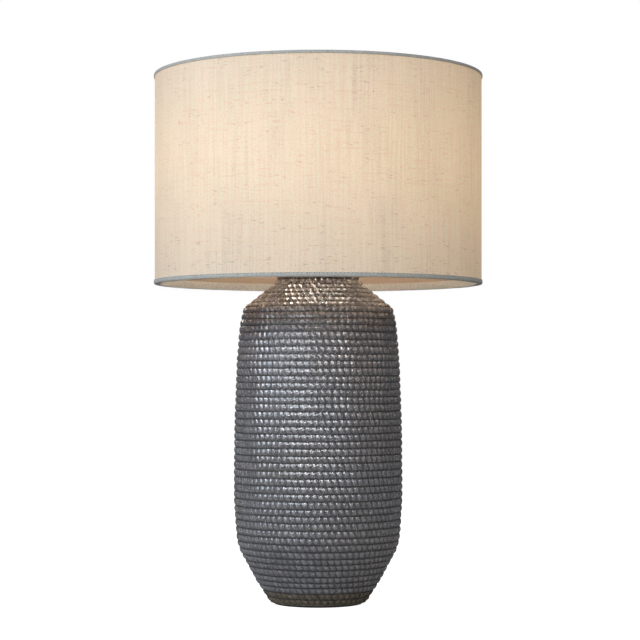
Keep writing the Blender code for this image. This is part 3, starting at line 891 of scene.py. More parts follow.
@dataclass(frozen=True)
class TurnedMetal(Finish):
    """Metal with tool rings, dull patches and a little dust."""

    patch_size: ClassVar[float] = 0.014
    dust_tone: ClassVar[Colour] = (0.42, 0.40, 0.37)
    dull: Colour = (0.3, 0.3, 0.3)
    dullness: float = 0.4
    ring_depth: float = 0.00004
    lacquer: float = 0.0

    def material(self) -> bpy.types.Material:
        """Builds the metal.

        Returns:
            The material.
        """
        material, graph, shader = self.start()
        place = graph.objects()
        mottle = self.mottled(graph, place)
        dust = graph.use(EFFECTS.dust, {"Vector": place, "Amount": 0.22}).outputs["Mask"]
        patch = graph.times(mottle["Broad"], self.dullness)
        tone = graph.mix(patch, self.colour, self.dull)
        tone = graph.mix(dust, tone, self.dust_tone)
        graph.feed(shader.inputs["Base Color"], tone)
        rough = graph.linear(mottle["Fine"], 0.14, self.roughness - 0.05)
        rough = graph.linear(dust, 0.6, rough)
        bare = graph.math("SUBTRACT", 1.0, dust)
        graph.fill(shader, {"Roughness": rough, "Metallic": bare, "Coat Weight": self.lacquer,
                            "Coat Roughness": 0.18})
        rings = graph.use(EFFECTS.turning, {"Vector": place}).outputs["Height"]
        self.relief(graph, shader, rings, self.ring_depth)
        return material


@dataclass(frozen=True)
class Moulded(Finish):
    """Moulded rubber, resin, felt or board: mottled, with a grain of its own."""

    dust_tone: ClassVar[Colour] = (0.35, 0.33, 0.30)
    grain: float = 900.0
    grain_depth: float = 0.0001
    variation: float = 0.35
    sheen: float = 0.0

    def material(self) -> bpy.types.Material:
        """Builds the moulding.

        Returns:
            The material.
        """
        material, graph, shader = self.start()
        place = graph.objects()
        mottle = self.mottled(graph, place)
        dust = graph.use(EFFECTS.dust, {"Vector": place, "Amount": 0.25}).outputs["Mask"]
        lighter = tuple(min(1.0, 1.7 * part + 0.01) for part in self.colour)
        tone = graph.mix(graph.times(mottle["Fine"], self.variation), self.colour, lighter)
        tone = graph.mix(dust, tone, self.dust_tone)
        graph.feed(shader.inputs["Base Color"], tone)
        rough = graph.linear(mottle["Broad"], 0.12, self.roughness - 0.04)
        graph.fill(shader, {"Roughness": rough, "Sheen Weight": self.sheen})
        self.relief(graph, shader, graph.noise(place, self.grain, 3.0, 0.65), self.grain_depth)
        return material


@dataclass(frozen=True)
class OpalGlass(Finish):
    """Opal-coated glass, lit from inside."""

    glow: Colour = (0.95, 0.70, 0.40)
    strength: float = 0.85

    def material(self) -> bpy.types.Material:
        """Builds the glass, dimmer towards its neck."""
        material, graph, shader = self.start()
        place = graph.objects()
        level = graph.add("ShaderNodeSeparateXYZ", {0: place}).outputs["Z"]
        bright = graph.step(level, 0.459, 0.500, 0.30, 1.0)
        cloud = graph.linear(graph.noise(place, 60.0, 2.0, 0.5), 0.12, 0.94)
        lit = graph.dimmed(self.glow, graph.times(bright, cloud))
        graph.fill(shader, {"Emission Color": lit, "Emission Strength": self.strength})
        self.relief(graph, shader, graph.noise(place, 300.0, 2.0, 0.5), 0.00005)
        return material


@dataclass(frozen=True)
class Vitreous(Finish):
    """Solid glass: black in the base, or clear in the stem."""

    clear: float = 0.0

    def material(self) -> bpy.types.Material:
        """Builds the glass with faint cords in it."""
        material, graph, shader = self.start()
        place = graph.objects()
        cords = graph.drawn_noise(place, (300.0, 300.0, 60.0), 2.0, 0.5)
        tone = graph.mix(cords, self.colour, shaded(self.colour, 0.8))
        graph.fill(shader, {"Base Color": tone, "Transmission Weight": self.clear, "IOR": 1.5})
        self.relief(graph, shader, cords, 0.0001)
        return material


@dataclass(frozen=True)
class GlowingWire(Finish):
    """Incandescent wire."""

    cooler: Colour = (1.0, 0.42, 0.10)
    hotter: Colour = (1.0, 0.70, 0.34)
    strength: float = 12.0

    def material(self) -> bpy.types.Material:
        """Builds the wire, with hotter and cooler stretches."""
        material, graph, shader = self.start()
        heat = graph.noise(graph.objects(), 240.0, 2.0, 0.5)
        lit = graph.mix(heat, self.cooler, self.hotter)
        graph.fill(shader, {"Emission Color": lit, "Emission Strength": self.strength})
        return material


BRASS_TONE: Colour = (0.66, 0.48, 0.22)
FINISHES: dict[Slot, Finish] = {
    Slot.STONEWARE: GlazedStoneware("beaded_glaze", (0.232, 0.240, 0.266), 0.26),
    Slot.FELT: Moulded("wool_felt", (0.050, 0.044, 0.038), 0.95, 1400.0, 0.0006, 0.6, 0.5),
    Slot.GROMMET: Moulded("cord_bush_rubber", (0.022, 0.022, 0.023), 0.6, 1200.0, 0.00005),
    Slot.GASKET: Moulded("seal_rubber", (0.045, 0.040, 0.036), 0.75, 800.0, 0.0001),
    Slot.ZINC: TurnedMetal("zinc_plate", (0.62, 0.62, 0.60), 0.36, (0.42, 0.43, 0.40)),
    Slot.BRASS: TurnedMetal("satin_brass", BRASS_TONE, 0.30, (0.42, 0.28, 0.12), 0.35,
                            lacquer=0.35),
    Slot.SOCKET_BRASS: TurnedMetal("drawn_brass", (0.60, 0.45, 0.23), 0.34,
                                   (0.36, 0.25, 0.12), 0.5, lacquer=0.2),
    Slot.FIBRE: Moulded("vulcanised_fibre", (0.27, 0.19, 0.12), 0.85, 500.0, 0.0002, 0.5),
    Slot.RESIN: Moulded("phenolic_resin", (0.045, 0.036, 0.030), 0.42, 700.0, 0.00005),
    Slot.KNOB: Moulded("black_knob", (0.016, 0.016, 0.017), 0.30, 500.0, 0.00003, 0.2),
    Slot.OPAL: OpalGlass("opal_glass_lit", (0.92, 0.90, 0.86), 0.28),
    Slot.NICKEL: TurnedMetal("rolled_nickel", (0.68, 0.66, 0.62), 0.28, (0.45, 0.43, 0.38)),
    Slot.BASE_GLASS: Vitreous("black_vitrite", (0.02, 0.02, 0.026), 0.12),
    Slot.STEM_GLASS: Vitreous("clear_flint", (0.94, 0.96, 0.95), 0.04, 1.0),
    Slot.FILAMENT: GlowingWire("tungsten_glow", (0.9, 0.6, 0.3), 0.5),
    Slot.LINEN: SlubLinen("slub_linen", (0.74, 0.69, 0.61), 0.9),
    Slot.LINER: StiffLiner("shade_film", (0.42, 0.335, 0.255), 0.55),
    Slot.BINDING: RibbedBinding("bias_binding", (0.60, 0.60, 0.56), 0.85),
}
STITCH_THREAD = Moulded("stitch_thread", (0.085, 0.082, 0.078), 0.85, 1400.0, 0.0002, 0.5)


class Paintbox:
    """Makes each finish once."""

    def __init__(self) -> None:
        """Starts empty."""
        self.made: dict[Finish, bpy.types.Material] = {}

    def pick(self, finish: Finish) -> bpy.types.Material:
        """Gives a finish's material, made on its first use."""
        if finish not in self.made:
            self.made[finish] = finish.material()
        return self.made[finish]


PAINT = Paintbox()


def dress(piece: bpy.types.Object, body: Body, slot: Slot, *nodes: str,
          finish: Finish | None = None) -> bpy.types.Object:
    """Paints a piece, lets it ride on its body and lets it stand for its plain solids.

    Args:
        piece: The finished object.
        body: The body that it moves with.
        slot: The material slot that it takes its finish from.
        *nodes: The frame's nodes that it replaces.
        finish: Its own finish, where it differs from the slot's.

    Returns:
        The piece.
    """
    piece.data.materials.append(PAINT.pick(finish or FINISHES[slot]))
    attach(piece, body.value)
    if nodes:
        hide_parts(*nodes)
    LOG.info("%s: %d faces on %s", piece.name, len(piece.data.polygons), body.value)
    return piece


# ---- The stoneware body ----------------------------------------------------------------------
@dataclass
class StonewareBody:
    """The hollow body: coils of clay pressed into rows of beads, with a recessed foot."""

    coil_pitch: float = 8.2
    coil_unevenness: float = 0.10
    bead_length: float = 7.8
    groove_depth: float = 2.0
    bead_depth: float = 1.75
    bead_unevenness: float = 0.42
    bead_lean: float = 0.28
    pinch: float = 0.26
    coil_wander: float = 0.45
    wall_turn_steps: int = 432
    coil_rings: tuple[float, ...] = (0.0, 0.17, 0.5, 0.83)
    seed: int = 11

    def outer_corners(self) -> list[Corner]:
        """Radius, height and fillet of each corner of the outside, foot to neck."""
        return [(57.2, 2.3, 0), (73.5, 27.5, 150), (95.2, 68, 60), (98.9, 120, 300),
                (98.3, 205, 600), (95.6, 280, 400), (91.8, 326, 60), (87.2, 344.7, 6),
                (61.2, 365, 20), (49.7, 374.5, 12), (47, 386, 0)]

    def inner_corners(self) -> list[Corner]:
        """Radius, height and fillet of the inside, from the lip down and out under the foot."""
        return [(44.5, 386, 0), (41, 385.4, 0), (42.5, 372.5, 4), (58.5, 359, 8),
                (82.2, 338.5, 8), (85.8, 325, 10), (92.9, 205, 0), (92.9, 120, 60),
                (88.8, 72, 30), (66, 28.5, 6), (62, 25, 4), (5.5, 25, 0.5), (5.5, 19, 0.5),
                (56, 19, 1.5), (42, 2.3, 0.8), (55.8, 2.3, 0)]

    def build(self) -> bpy.types.Object:
        """Turns the wall and presses the beads into it.

        Returns:
            The finished body.
        """
        outline = np.array([tuple(point) for point in rounded(self.outer_corners(), 14)])
        lengths = np.hypot(*np.diff(outline, axis=0).T)
        travel = np.concatenate(([0.0], np.cumsum(lengths)))
        rng = np.random.default_rng(self.seed)
        rows = round(travel[-1] / self.coil_pitch)
        heights = 1 + self.coil_unevenness * rng.uniform(-1, 1, rows)
        edges = np.concatenate(([0.0], np.cumsum(heights))) * travel[-1] / heights.sum()
        places = [row + share for row in range(rows) for share in self.coil_rings] + [rows]
        rings = np.interp(places, np.arange(rows + 1), edges)
        radii = np.interp(rings, travel, outline[:, 0])
        levels = np.interp(rings, travel, outline[:, 1])
        tangents = np.stack((np.gradient(radii, rings), np.gradient(levels, rings)), axis=1)
        tangents /= np.linalg.norm(tangents, axis=1)[:, None]

        bm = bmesh.new()
        layers = [bm.verts.layers.float.new(name) for name in ("coil", "rise_r", "rise_z")]
        ring_verts = []
        for place, radius, level, (run, climb) in zip(places, radii, levels, tangents):
            vert = bm.verts.new((radius, 0, level))
            for layer, value in zip(layers, (place, climb, -run)):
                vert[layer] = value
            ring_verts.append(vert)
        for point in rounded(self.inner_corners(), 1):
            vert = bm.verts.new((point.x, 0, point.y))
            vert[layers[0]] = -1
            ring_verts.append(vert)
        profile = [bm.edges.new(pair) for pair in zip(ring_verts, ring_verts[1:] + ring_verts[:1])]
        full_spin(bm, ring_verts + profile, self.wall_turn_steps)
        bmesh.ops.recalc_face_normals(bm, faces=bm.faces[:])
        piece = finished(bm, "glazed_body", sharp=180)
        self.press_beads(piece.data, rows, np.interp(np.arange(rows) + 0.5, places, radii), rng)
        return dress(piece, Body.BASE, Slot.STONEWARE, "ceramic_body")

    def press_beads(self, mesh: bpy.types.Mesh, rows: int, row_radii: np.ndarray,
                    rng: np.random.Generator) -> None:
        """Presses grooves between the coils and beads along them, and lays the coil map.

        Args:
            mesh: The turned wall, in metres, with its coil and rise attributes.
            rows: Number of coils.
            row_radii: Radius at the middle of each coil, in millimetres.
            rng: Source of the unevenness.
        """
        count = len(mesh.vertices)
        coil, rise_r, rise_z = (self.attribute(mesh, name) for name in ("coil", "rise_r", "rise_z"))
        points = np.zeros(count * 3)
        mesh.vertices.foreach_get("co", points)
        points = points.reshape(-1, 3)
        angle = np.arctan2(points[:, 1], points[:, 0])
        beads = np.round(FULL_TURN * row_radii / self.bead_length)
        phases = rng.uniform(0, 1, rows)
        swell = rng.uniform(-1, 1, (rows, int(beads.max()) + 2))

        row = np.clip(np.floor(coil), 0, rows - 1).astype(int)
        share = coil - row
        pressed = coil >= 0
        along = angle / FULL_TURN * beads[row] + phases[row] + self.bead_lean * (share - 0.5)
        number = np.floor(along)
        from_gap = 0.5 + 0.5 * np.cos(FULL_TURN * (along - number))
        groove = np.abs(2 * share - 1) ** 3
        own = swell[row, (number % beads[row]).astype(int)]
        relief = -self.groove_depth * groove - self.bead_depth * from_gap ** 1.4 * (1 - groove)
        relief -= self.bead_unevenness * 0.5 * (1 + own) * (1 - groove) * (1 - from_gap)
        relief -= self.pinch * np.abs(rng.normal(0, 1, count)).clip(0, 2.2) * (1 - groove)
        wave = np.zeros(count)
        for lobes, size in ((2, 0.5), (5, 0.3), (11, 0.2)):
            turns = rng.uniform(0, FULL_TURN, rows + 1)
            low = np.sin(lobes * angle + turns[row])
            high = np.sin(lobes * angle + turns[row + 1])
            wave += size * (low * (1 - share) + high * share)
        ends = np.clip(np.minimum(coil, rows - coil), 0, 1)
        slide = self.coil_wander * wave * ends
        relief = np.where(pressed, relief, 0) * MM
        slide = np.where(pressed, slide, 0) * MM
        outward = relief * rise_r - slide * rise_z
        points[:, 0] += outward * np.cos(angle)
        points[:, 1] += outward * np.sin(angle)
        points[:, 2] += relief * rise_z + slide * rise_r
        mesh.vertices.foreach_set("co", points.ravel())
        mesh.update()
        self.lay_coil_map(mesh, coil, angle, beads, phases)
        for name in ("coil", "rise_r", "rise_z"):
            mesh.attributes.remove(mesh.attributes[name])

    @staticmethod
    def attribute(mesh: bpy.types.Mesh, name: str) -> np.ndarray:
        """Reads a number per vertex."""
        values = np.zeros(len(mesh.vertices), np.float32)
        mesh.attributes[name].data.foreach_get("value", values)
        return values.astype(float)

    def lay_coil_map(self, mesh: bpy.types.Mesh, coil: np.ndarray, angle: np.ndarray,
                     beads: np.ndarray, phases: np.ndarray) -> None:
        """Gives each face corner its bead count along the coil and its coil number.

        Args:
            mesh: The pressed wall, all of quads.
            coil: Coil number of each vertex, -1 inside.
            angle: Angle of each vertex round the axis.
            beads: Number of beads in each coil.
            phases: Where each coil's first bead starts, as a share of a bead.
        """
        corners = np.zeros(len(mesh.loops), np.int32)
        mesh.loops.foreach_get("vertex_index", corners)
        corners = corners.reshape(-1, 4)
        turn = angle[corners]
        turn += np.where(turn.max(1, keepdims=True) - turn > math.pi, FULL_TURN, 0)
        place = coil[corners]
        outside = place.min(1, keepdims=True) >= 0
        row = np.clip(np.floor(place.mean(1, keepdims=True)), 0, len(beads) - 1).astype(int)
        share = place - row
        along = turn / FULL_TURN * beads[row] + phases[row] + self.bead_lean * (share - 0.5)
        across = row + np.clip(share, 0.001, 0.999)
        spots = np.stack((np.where(outside, along, 0.5), np.where(outside, across, -0.5)), axis=2)
        layer = mesh.uv_layers.new(name=FINISHES[Slot.STONEWARE].coil_map)
        layer.data.foreach_set("uv", spots.ravel())


# ---- Hardware under and above the body -------------------------------------------------------
@dataclass
class RodHardware:
    """The pipe through the body with everything clamped on it below the socket."""

    thread_pitch: float = 0.94
    thread_depth: float = 0.35
    pipe_radius: float = 5.1
    pipe_bore: float = 3.4
    lower_thread_top: float = 40.0
    upper_thread_base: float = 370.0
    washer_bore: float = 5.5
    washer_teeth: int = 12

    def build(self) -> None:
        """Builds and dresses every piece of the stack."""
        self.foot()
        self.cord_bush()
        self.pipe()
        self.washers()
        self.cap()

    def foot(self) -> None:
        """The felt ring under the foot, its edge a little fuzzy."""
        seat = Seat.of("foot_pad")
        ring = lathe([(42.3, seat.bottom, 0.5), (seat.radius, seat.bottom, 0.7),
                      (seat.radius, seat.top, 0.3), (42.3, seat.top, 0.3)], 128, 3)
        dress(finished(ring, "felt_foot", 60), Body.BASE, Slot.FELT, "foot_pad")

    def cord_bush(self) -> None:
        """The flanged bush in the cord's way out, at the back."""
        seat = Seat.of("cord_grommet")
        length = seat.depth
        flange = seat.radius
        bush = lathe([(3.5, 0, 0.5), (5.2, 0, 0.4), (5.2, length - 2.4, 0.2),
                      (flange, length - 2.4, 0.3), (flange, length, 1.1), (4.4, length, 0.5),
                      (3.5, length - 1.2, 0.5)], 48, 3)
        at = Vector((0, seat.low.y, seat.middle.z))
        dress(finished(turned_to(bush, Vector((0, 1, 0)), at), "cord_bush"), Body.BASE,
              Slot.GROMMET, "cord_grommet")

    def pipe(self) -> None:
        """The hollow threaded pipe."""
        seat = Seat.of("threaded_rod")
        core = self.pipe_radius - self.thread_depth
        shell = washer(self.pipe_bore, core, seat.bottom, seat.top, 0.2, 48)
        low, high = self.lower_thread_top, self.upper_thread_base
        ridges = [thread(core, self.thread_depth, self.thread_pitch, *span, 20)
                  for span in ((seat.bottom + 0.3, low), (high, seat.top - 0.3))]
        smooth = washer(core - 0.1, self.pipe_radius, low, high, 0.2, 48)
        pipe = joined(shell, *ridges, smooth)
        dress(finished(pipe, "lamp_pipe"), Body.BASE, Slot.ZINC, "threaded_rod")

    def washers(self) -> None:
        """The flat washer, the toothed one and the nut under the floor."""
        seat = Seat.of("bottom_washer")
        bore = self.washer_bore
        flat = lathe([(bore, seat.bottom, 0.2), (seat.radius, seat.bottom, 0.5),
                      (seat.radius, seat.top, 0.1), (bore, seat.top, 0.1)], 96, 2)
        dress(finished(flat, "flat_washer"), Body.BASE, Slot.ZINC, "bottom_washer")
        seat = Seat.of("lock_washer")
        toothed = washer(bore, seat.radius, seat.bottom, seat.top, 0.15, 96)
        middle = (seat.bottom + seat.top) / 2
        for vert in toothed.verts:
            reach = vert.co.xy.length
            turn = math.atan2(vert.co.y, vert.co.x)
            if reach > seat.radius - 1.0:
                pull = 0.5 + 0.5 * math.cos(self.washer_teeth * turn)
                draw_in(vert, 0.13 * pull)
                vert.co.z = middle + (vert.co.z - middle) * (1 - 0.3 * pull)
        dress(finished(toothed, "toothed_washer"), Body.BASE, Slot.ZINC, "lock_washer")
        seat = Seat.of("bottom_nut")
        nut = hex_nut(15.9, NUT_BORE, seat.bottom, seat.top)
        dress(finished(nut, "pipe_nut", 30), Body.BASE, Slot.ZINC, "bottom_nut")

    def cap(self) -> None:
        """The rubber seal, the brass cap over the neck and the collar above it."""
        seat = Seat.of("neck_gasket")
        seal = washer(42.0, seat.radius, seat.bottom, seat.top, 0.3, 96)
        dress(finished(seal, "neck_seal"), Body.BASE, Slot.GASKET, "neck_gasket")
        seat = Seat.of("neck_cap")
        base = seat.bottom
        cap = lathe([(5.5, seat.top, 0), (14, seat.top, 4), (36, base + 1.2, 6),
                     (44.6, base + 1.2, 0.4), (45.6, base + 0.5, 0.4), (45, base, 0.3),
                     (36, base, 6), (14, seat.top - 1.2, 4), (5.5, seat.top - 1.2, 0)], 128, 4)
        dress(finished(cap, "vase_cap"), Body.BASE, Slot.BRASS, "neck_cap")
        seat = Seat.of("stem_collar")
        base = seat.bottom
        collar = lathe([(5.5, base, 0.2), (11, base, 0.3), (11, base + 1.2, 0.4),
                        (8.5, base + 2.9, 2.2), (10, seat.top - 1.0, 0.4), (10, seat.top, 0.3),
                        (5.5, seat.top, 0.2)], 64, 4)
        dress(finished(collar, "collar_turning"), Body.BASE, Slot.BRASS, "stem_collar")


@dataclass
class HarpCradle:
    """The saddle that holds the harp's legs, with its nut."""

    leg: float = 36.0
    strap_half_width: float = 7.5
    strap_thickness: float = 1.6
    post_radius: float = 1.8

    def build(self) -> None:
        """Bends the strap and sets the posts."""
        seat = Seat.of("harp_saddle")
        low = seat.bottom + self.strap_thickness / 2
        ear = low + 4.9
        line = rounded([(-self.leg, ear, 0), (-self.leg, low, 3.5), (self.leg, low, 3.5),
                        (self.leg, ear, 0)], 5)
        bm = bmesh.new()
        edges = polyline(bm, [(point.x, -self.strap_half_width, point.y) for point in line])[1]
        grown = bmesh.ops.extrude_edge_only(bm, edges=edges)["geom"]
        bmesh.ops.translate(bm, verts=verts_of(grown), vec=(0, 2 * self.strap_half_width, 0))
        bmesh.ops.recalc_face_normals(bm, faces=bm.faces[:])
        bmesh.ops.solidify(bm, geom=bm.faces[:], thickness=self.strap_thickness)
        shift = seat.bottom - min(vert.co.z for vert in bm.verts)
        bmesh.ops.translate(bm, verts=bm.verts[:], vec=(0, 0, shift))
        rim = [edge for edge in bm.edges if edge.calc_face_angle(0) > 1.0]
        bmesh.ops.bevel(bm, geom=rim, offset=0.25, segments=2, profile=0.5, affect="EDGES",
                        material=-1)
        parts = [bm]
        for side in (-1, 1):
            post = lathe([(0, ear - 2.0, 0), (self.post_radius, ear - 2.0, 0),
                          (self.post_radius, seat.top, 0.5), (0, seat.top, 0)], 24, 3)
            bmesh.ops.translate(post, verts=post.verts[:], vec=(side * self.leg, 0, 0))
            parts.append(post)
        dress(finished(joined(*parts), "harp_cradle"), Body.BASE, Slot.BRASS, "harp_saddle")
        seat = Seat.of("saddle_nut")
        nut = hex_nut(14.5, NUT_BORE, seat.bottom, seat.top)
        dress(finished(nut, "cradle_nut", 30), Body.BASE, Slot.BRASS, "saddle_nut")


# ---- Socket and switch -----------------------------------------------------------------------
@dataclass
class Socket:
    """The bulb's socket with the parts inside it."""

    shell_radius: float = 18.6
    shell_wall: float = 0.6
    screw_pitch: float = 3.63
    window_radius: float = 4.4
    window_level: float = 428.0

    def build(self) -> None:
        """Builds and dresses every piece of the socket."""
        self.cup()
        self.barrel()
        self.insulation()
        self.contacts()

    def cup(self) -> None:
        """The lower cup and the screw that locks it on the pipe."""
        seat = Seat.of("socket_cap")
        base = seat.bottom
        cup = lathe([(5.5, base, 0.2), (8.4, base, 0.4), (8.4, base + 5.5, 0.8),
                     (14, base + 7, 3), (20, base + 11.5, 4), (20, base + 18, 0.3),
                     (19.2, base + 18, 0.3), (19.2, base + 12, 4), (13.8, base + 7.9, 3),
                     (5.5, base + 6.4, 0.2)], 96, 5)
        dress(finished(cup, "socket_cup"), Body.BASE, Slot.SOCKET_BRASS, "socket_cap")
        seat = Seat.of("socket_set_screw")
        length = seat.depth
        screw = lathe([(0, 0, 0), (1.1, 0, 0), (1.5, 0.5, 0), (1.5, length, 0.2),
                       (0, length, 0)], 24, 2)
        screw = cut_slot(screw, length, 0.6, 0.6)
        at = Vector((0, seat.low.y, seat.middle.z))
        dress(finished(turned_to(screw, Vector((0, 1, 0)), at), "cup_screw"), Body.BASE,
              Slot.ZINC, "socket_set_screw")

    def barrel(self) -> None:
        """The drawn shell, with its rolled bead and pressed grip rings."""
        seat = Seat.of("socket_shell")
        inner = self.shell_radius - self.shell_wall
        outer = self.shell_radius
        outline = [(inner, seat.bottom, 0.1), (outer, seat.bottom, 0.1)]
        for level in (438.0, 441.5, 445.0):
            outline += [(outer, level - 1.0, 0.4), (outer - 0.35, level, 0.6),
                        (outer, level + 1.0, 0.4)]
        outline += [(outer, seat.top - 4.2, 0.5), (outer + 0.8, seat.top - 2.6, 0.9),
                    (outer + 0.8, seat.top - 1.0, 0.7), (outer, seat.top, 0.3),
                    (inner, seat.top, 0.1)]
        shell = self.pierced(lathe(outline, 96, 3))
        dress(finished(shell, "socket_barrel"), Body.BASE, Slot.SOCKET_BRASS, "socket_shell")

    def pierced(self, bm: Shape) -> Shape:
        """Cuts the switch's window through a thin shell, towards the front.

        Args:
            bm: The shell.

        Returns:
            The shell with a round hole that has its own rim.
        """
        near = self.window_faces(bm, self.window_radius + 1.4)
        bmesh.ops.subdivide_edges(bm, edges=list({edge for face in near for edge in face.edges}),
                                  cuts=5, use_grid_fill=True)
        bmesh.ops.delete(bm, geom=self.window_faces(bm, self.window_radius), context="FACES")
        open_edges = [edge for edge in bm.edges if edge.is_boundary]
        for vert in {vert for edge in open_edges for vert in edge.verts}:
            across = Vector((vert.co.x, vert.co.z - self.window_level))
            across = across.normalized() * self.window_radius
            depth = vert.co.xy.length
            vert.co.x = across.x
            vert.co.z = self.window_level + across.y
            vert.co.y = -math.sqrt(max(depth ** 2 - across.x ** 2, 0.0))
        bmesh.ops.bridge_loops(bm, edges=open_edges)
        bmesh.ops.recalc_face_normals(bm, faces=bm.faces[:])
        return bm

    def window_faces(self, bm: Shape, radius: float) -> list[bmesh.types.BMFace]:
        """Picks the front faces whose centre is less than a radius from the window's."""
        centres = [(face, face.calc_center_median()) for face in bm.faces]
        return [face for face, centre in centres if centre.y < 0
                and math.hypot(centre.x, centre.z - self.window_level) < radius]

    def insulation(self) -> None:
        """The paper tube and the resin block."""
        seat = Seat.of("socket_insulator")
        tube = self.pierced(washer(17.0, 17.6, seat.bottom, seat.top, 0.1, 96))
        dress(finished(tube, "paper_insulator"), Body.BASE, Slot.FIBRE, "socket_insulator")
        seat = Seat.of("socket_body")
        base = seat.bottom
        lump = lathe([(0, base, 0), (11, base, 1.5), (14.5, base + 3.5, 1.0),
                      (14.5, base + 8.0, 0.3), (13.9, base + 8.4, 0.3), (13.9, base + 9.4, 0.3),
                      (14.5, base + 9.8, 0.3), (14.5, seat.top, 0.8), (0, seat.top, 0)], 64, 3)
        dress(finished(lump, "switch_block"), Body.BASE, Slot.RESIN, "socket_body")

    def contacts(self) -> None:
        """The threaded shell, the middle leaf and the two terminal screws."""
        seat = Seat.of("screw_shell")
        shell = washer(13.7, 14.2, seat.bottom, seat.top, 0.1, 64)
        start = seat.bottom + 1.0
        groove = thread(14.1, -0.9, self.screw_pitch, start, seat.top - 0.6, 48)
        dress(finished(joined(shell, groove), "thread_shell"), Body.BASE, Slot.SOCKET_BRASS,
              "screw_shell")
        seat = Seat.of("centre_contact")
        base = seat.bottom
        leaf = lathe([(0, base, 0), (4, base, 0.1), (3, base + 0.7, 0.3), (0, seat.top, 0)], 32, 3)
        dress(finished(leaf, "contact_leaf"), Body.BASE, Slot.SOCKET_BRASS, "centre_contact")
        for name, node, side, slot in (
                ("live_screw", "terminal_screw_left", -1, Slot.SOCKET_BRASS),
                ("neutral_screw", "terminal_screw_right", 1, Slot.ZINC)):
            head = lathe([(0, 0, 0), (3, 0, 0), (3, 1.1, 0.2), (2.4, 1.7, 0.5), (0, 1.7, 0)],
                         32, 3)
            head = cut_slot(head, 1.7, 0.8, 0.7)
            at = Vector((side * 14.8, 0, self.window_level))
            dress(finished(turned_to(head, Vector((side, 0, 0)), at), name), Body.BASE, slot, node)


@dataclass
class Switch:
    """The turn switch at the front of the socket."""

    flutes: int = 18
    flute_depth: float = 0.075

    def build(self) -> None:
        """Builds the bushing, the shaft and the fluted knob."""
        front = Vector((0, -1, 0))
        seat = Seat.of("switch_barrel")
        length = seat.depth
        at = Vector((0, seat.high.y, seat.middle.z))
        sleeve = washer(2.0, 3.7, 0, length, 0.2, 48)
        ridge = thread(3.7, 0.3, 0.8, 2.6, length - 0.3, 32)
        bushing = turned_to(joined(sleeve, ridge), front, at)
        dress(finished(bushing, "switch_bushing"), Body.BASE, Slot.SOCKET_BRASS, "switch_barrel")

        seat = Seat.of("switch_spindle")
        length = seat.depth
        at = Vector((0, seat.high.y, seat.middle.z))
        shaft = lathe([(0, 0, 0), (1.6, 0, 0.2), (1.6, length, 0.3), (0, length, 0)], 32, 2)
        dress(finished(turned_to(shaft, front, at), "switch_shaft"), Body.SWITCH,
              Slot.SOCKET_BRASS, "switch_spindle")

        seat = Seat.of("switch_knob")
        length = seat.depth
        bore = length - 2.2
        knob = lathe([(0, bore, 0), (1.9, bore, 0), (1.9, 0, 0.2), (5.2, 0, 0.4),
                      (seat.radius, 1.6, 0.6), (seat.radius, 6.0, 0),
                      (seat.radius, length - 2.2, 1.2), (5.2, length - 0.3, 0.8),
                      (0, length, 0)], 144, 4)
        for vert in knob.verts:
            reach = vert.co.xy.length
            if reach > 0.6 * seat.radius and vert.co.z > 0.8:
                turn = math.atan2(vert.co.y, vert.co.x)
                pinch = self.flute_depth * (0.5 + 0.5 * math.cos(self.flutes * turn)) ** 2
                draw_in(vert, pinch)
        at = Vector((0, seat.high.y, seat.middle.z))
        dress(finished(turned_to(knob, front, at), "fluted_knob", 50), Body.SWITCH, Slot.KNOB,
              "switch_knob")


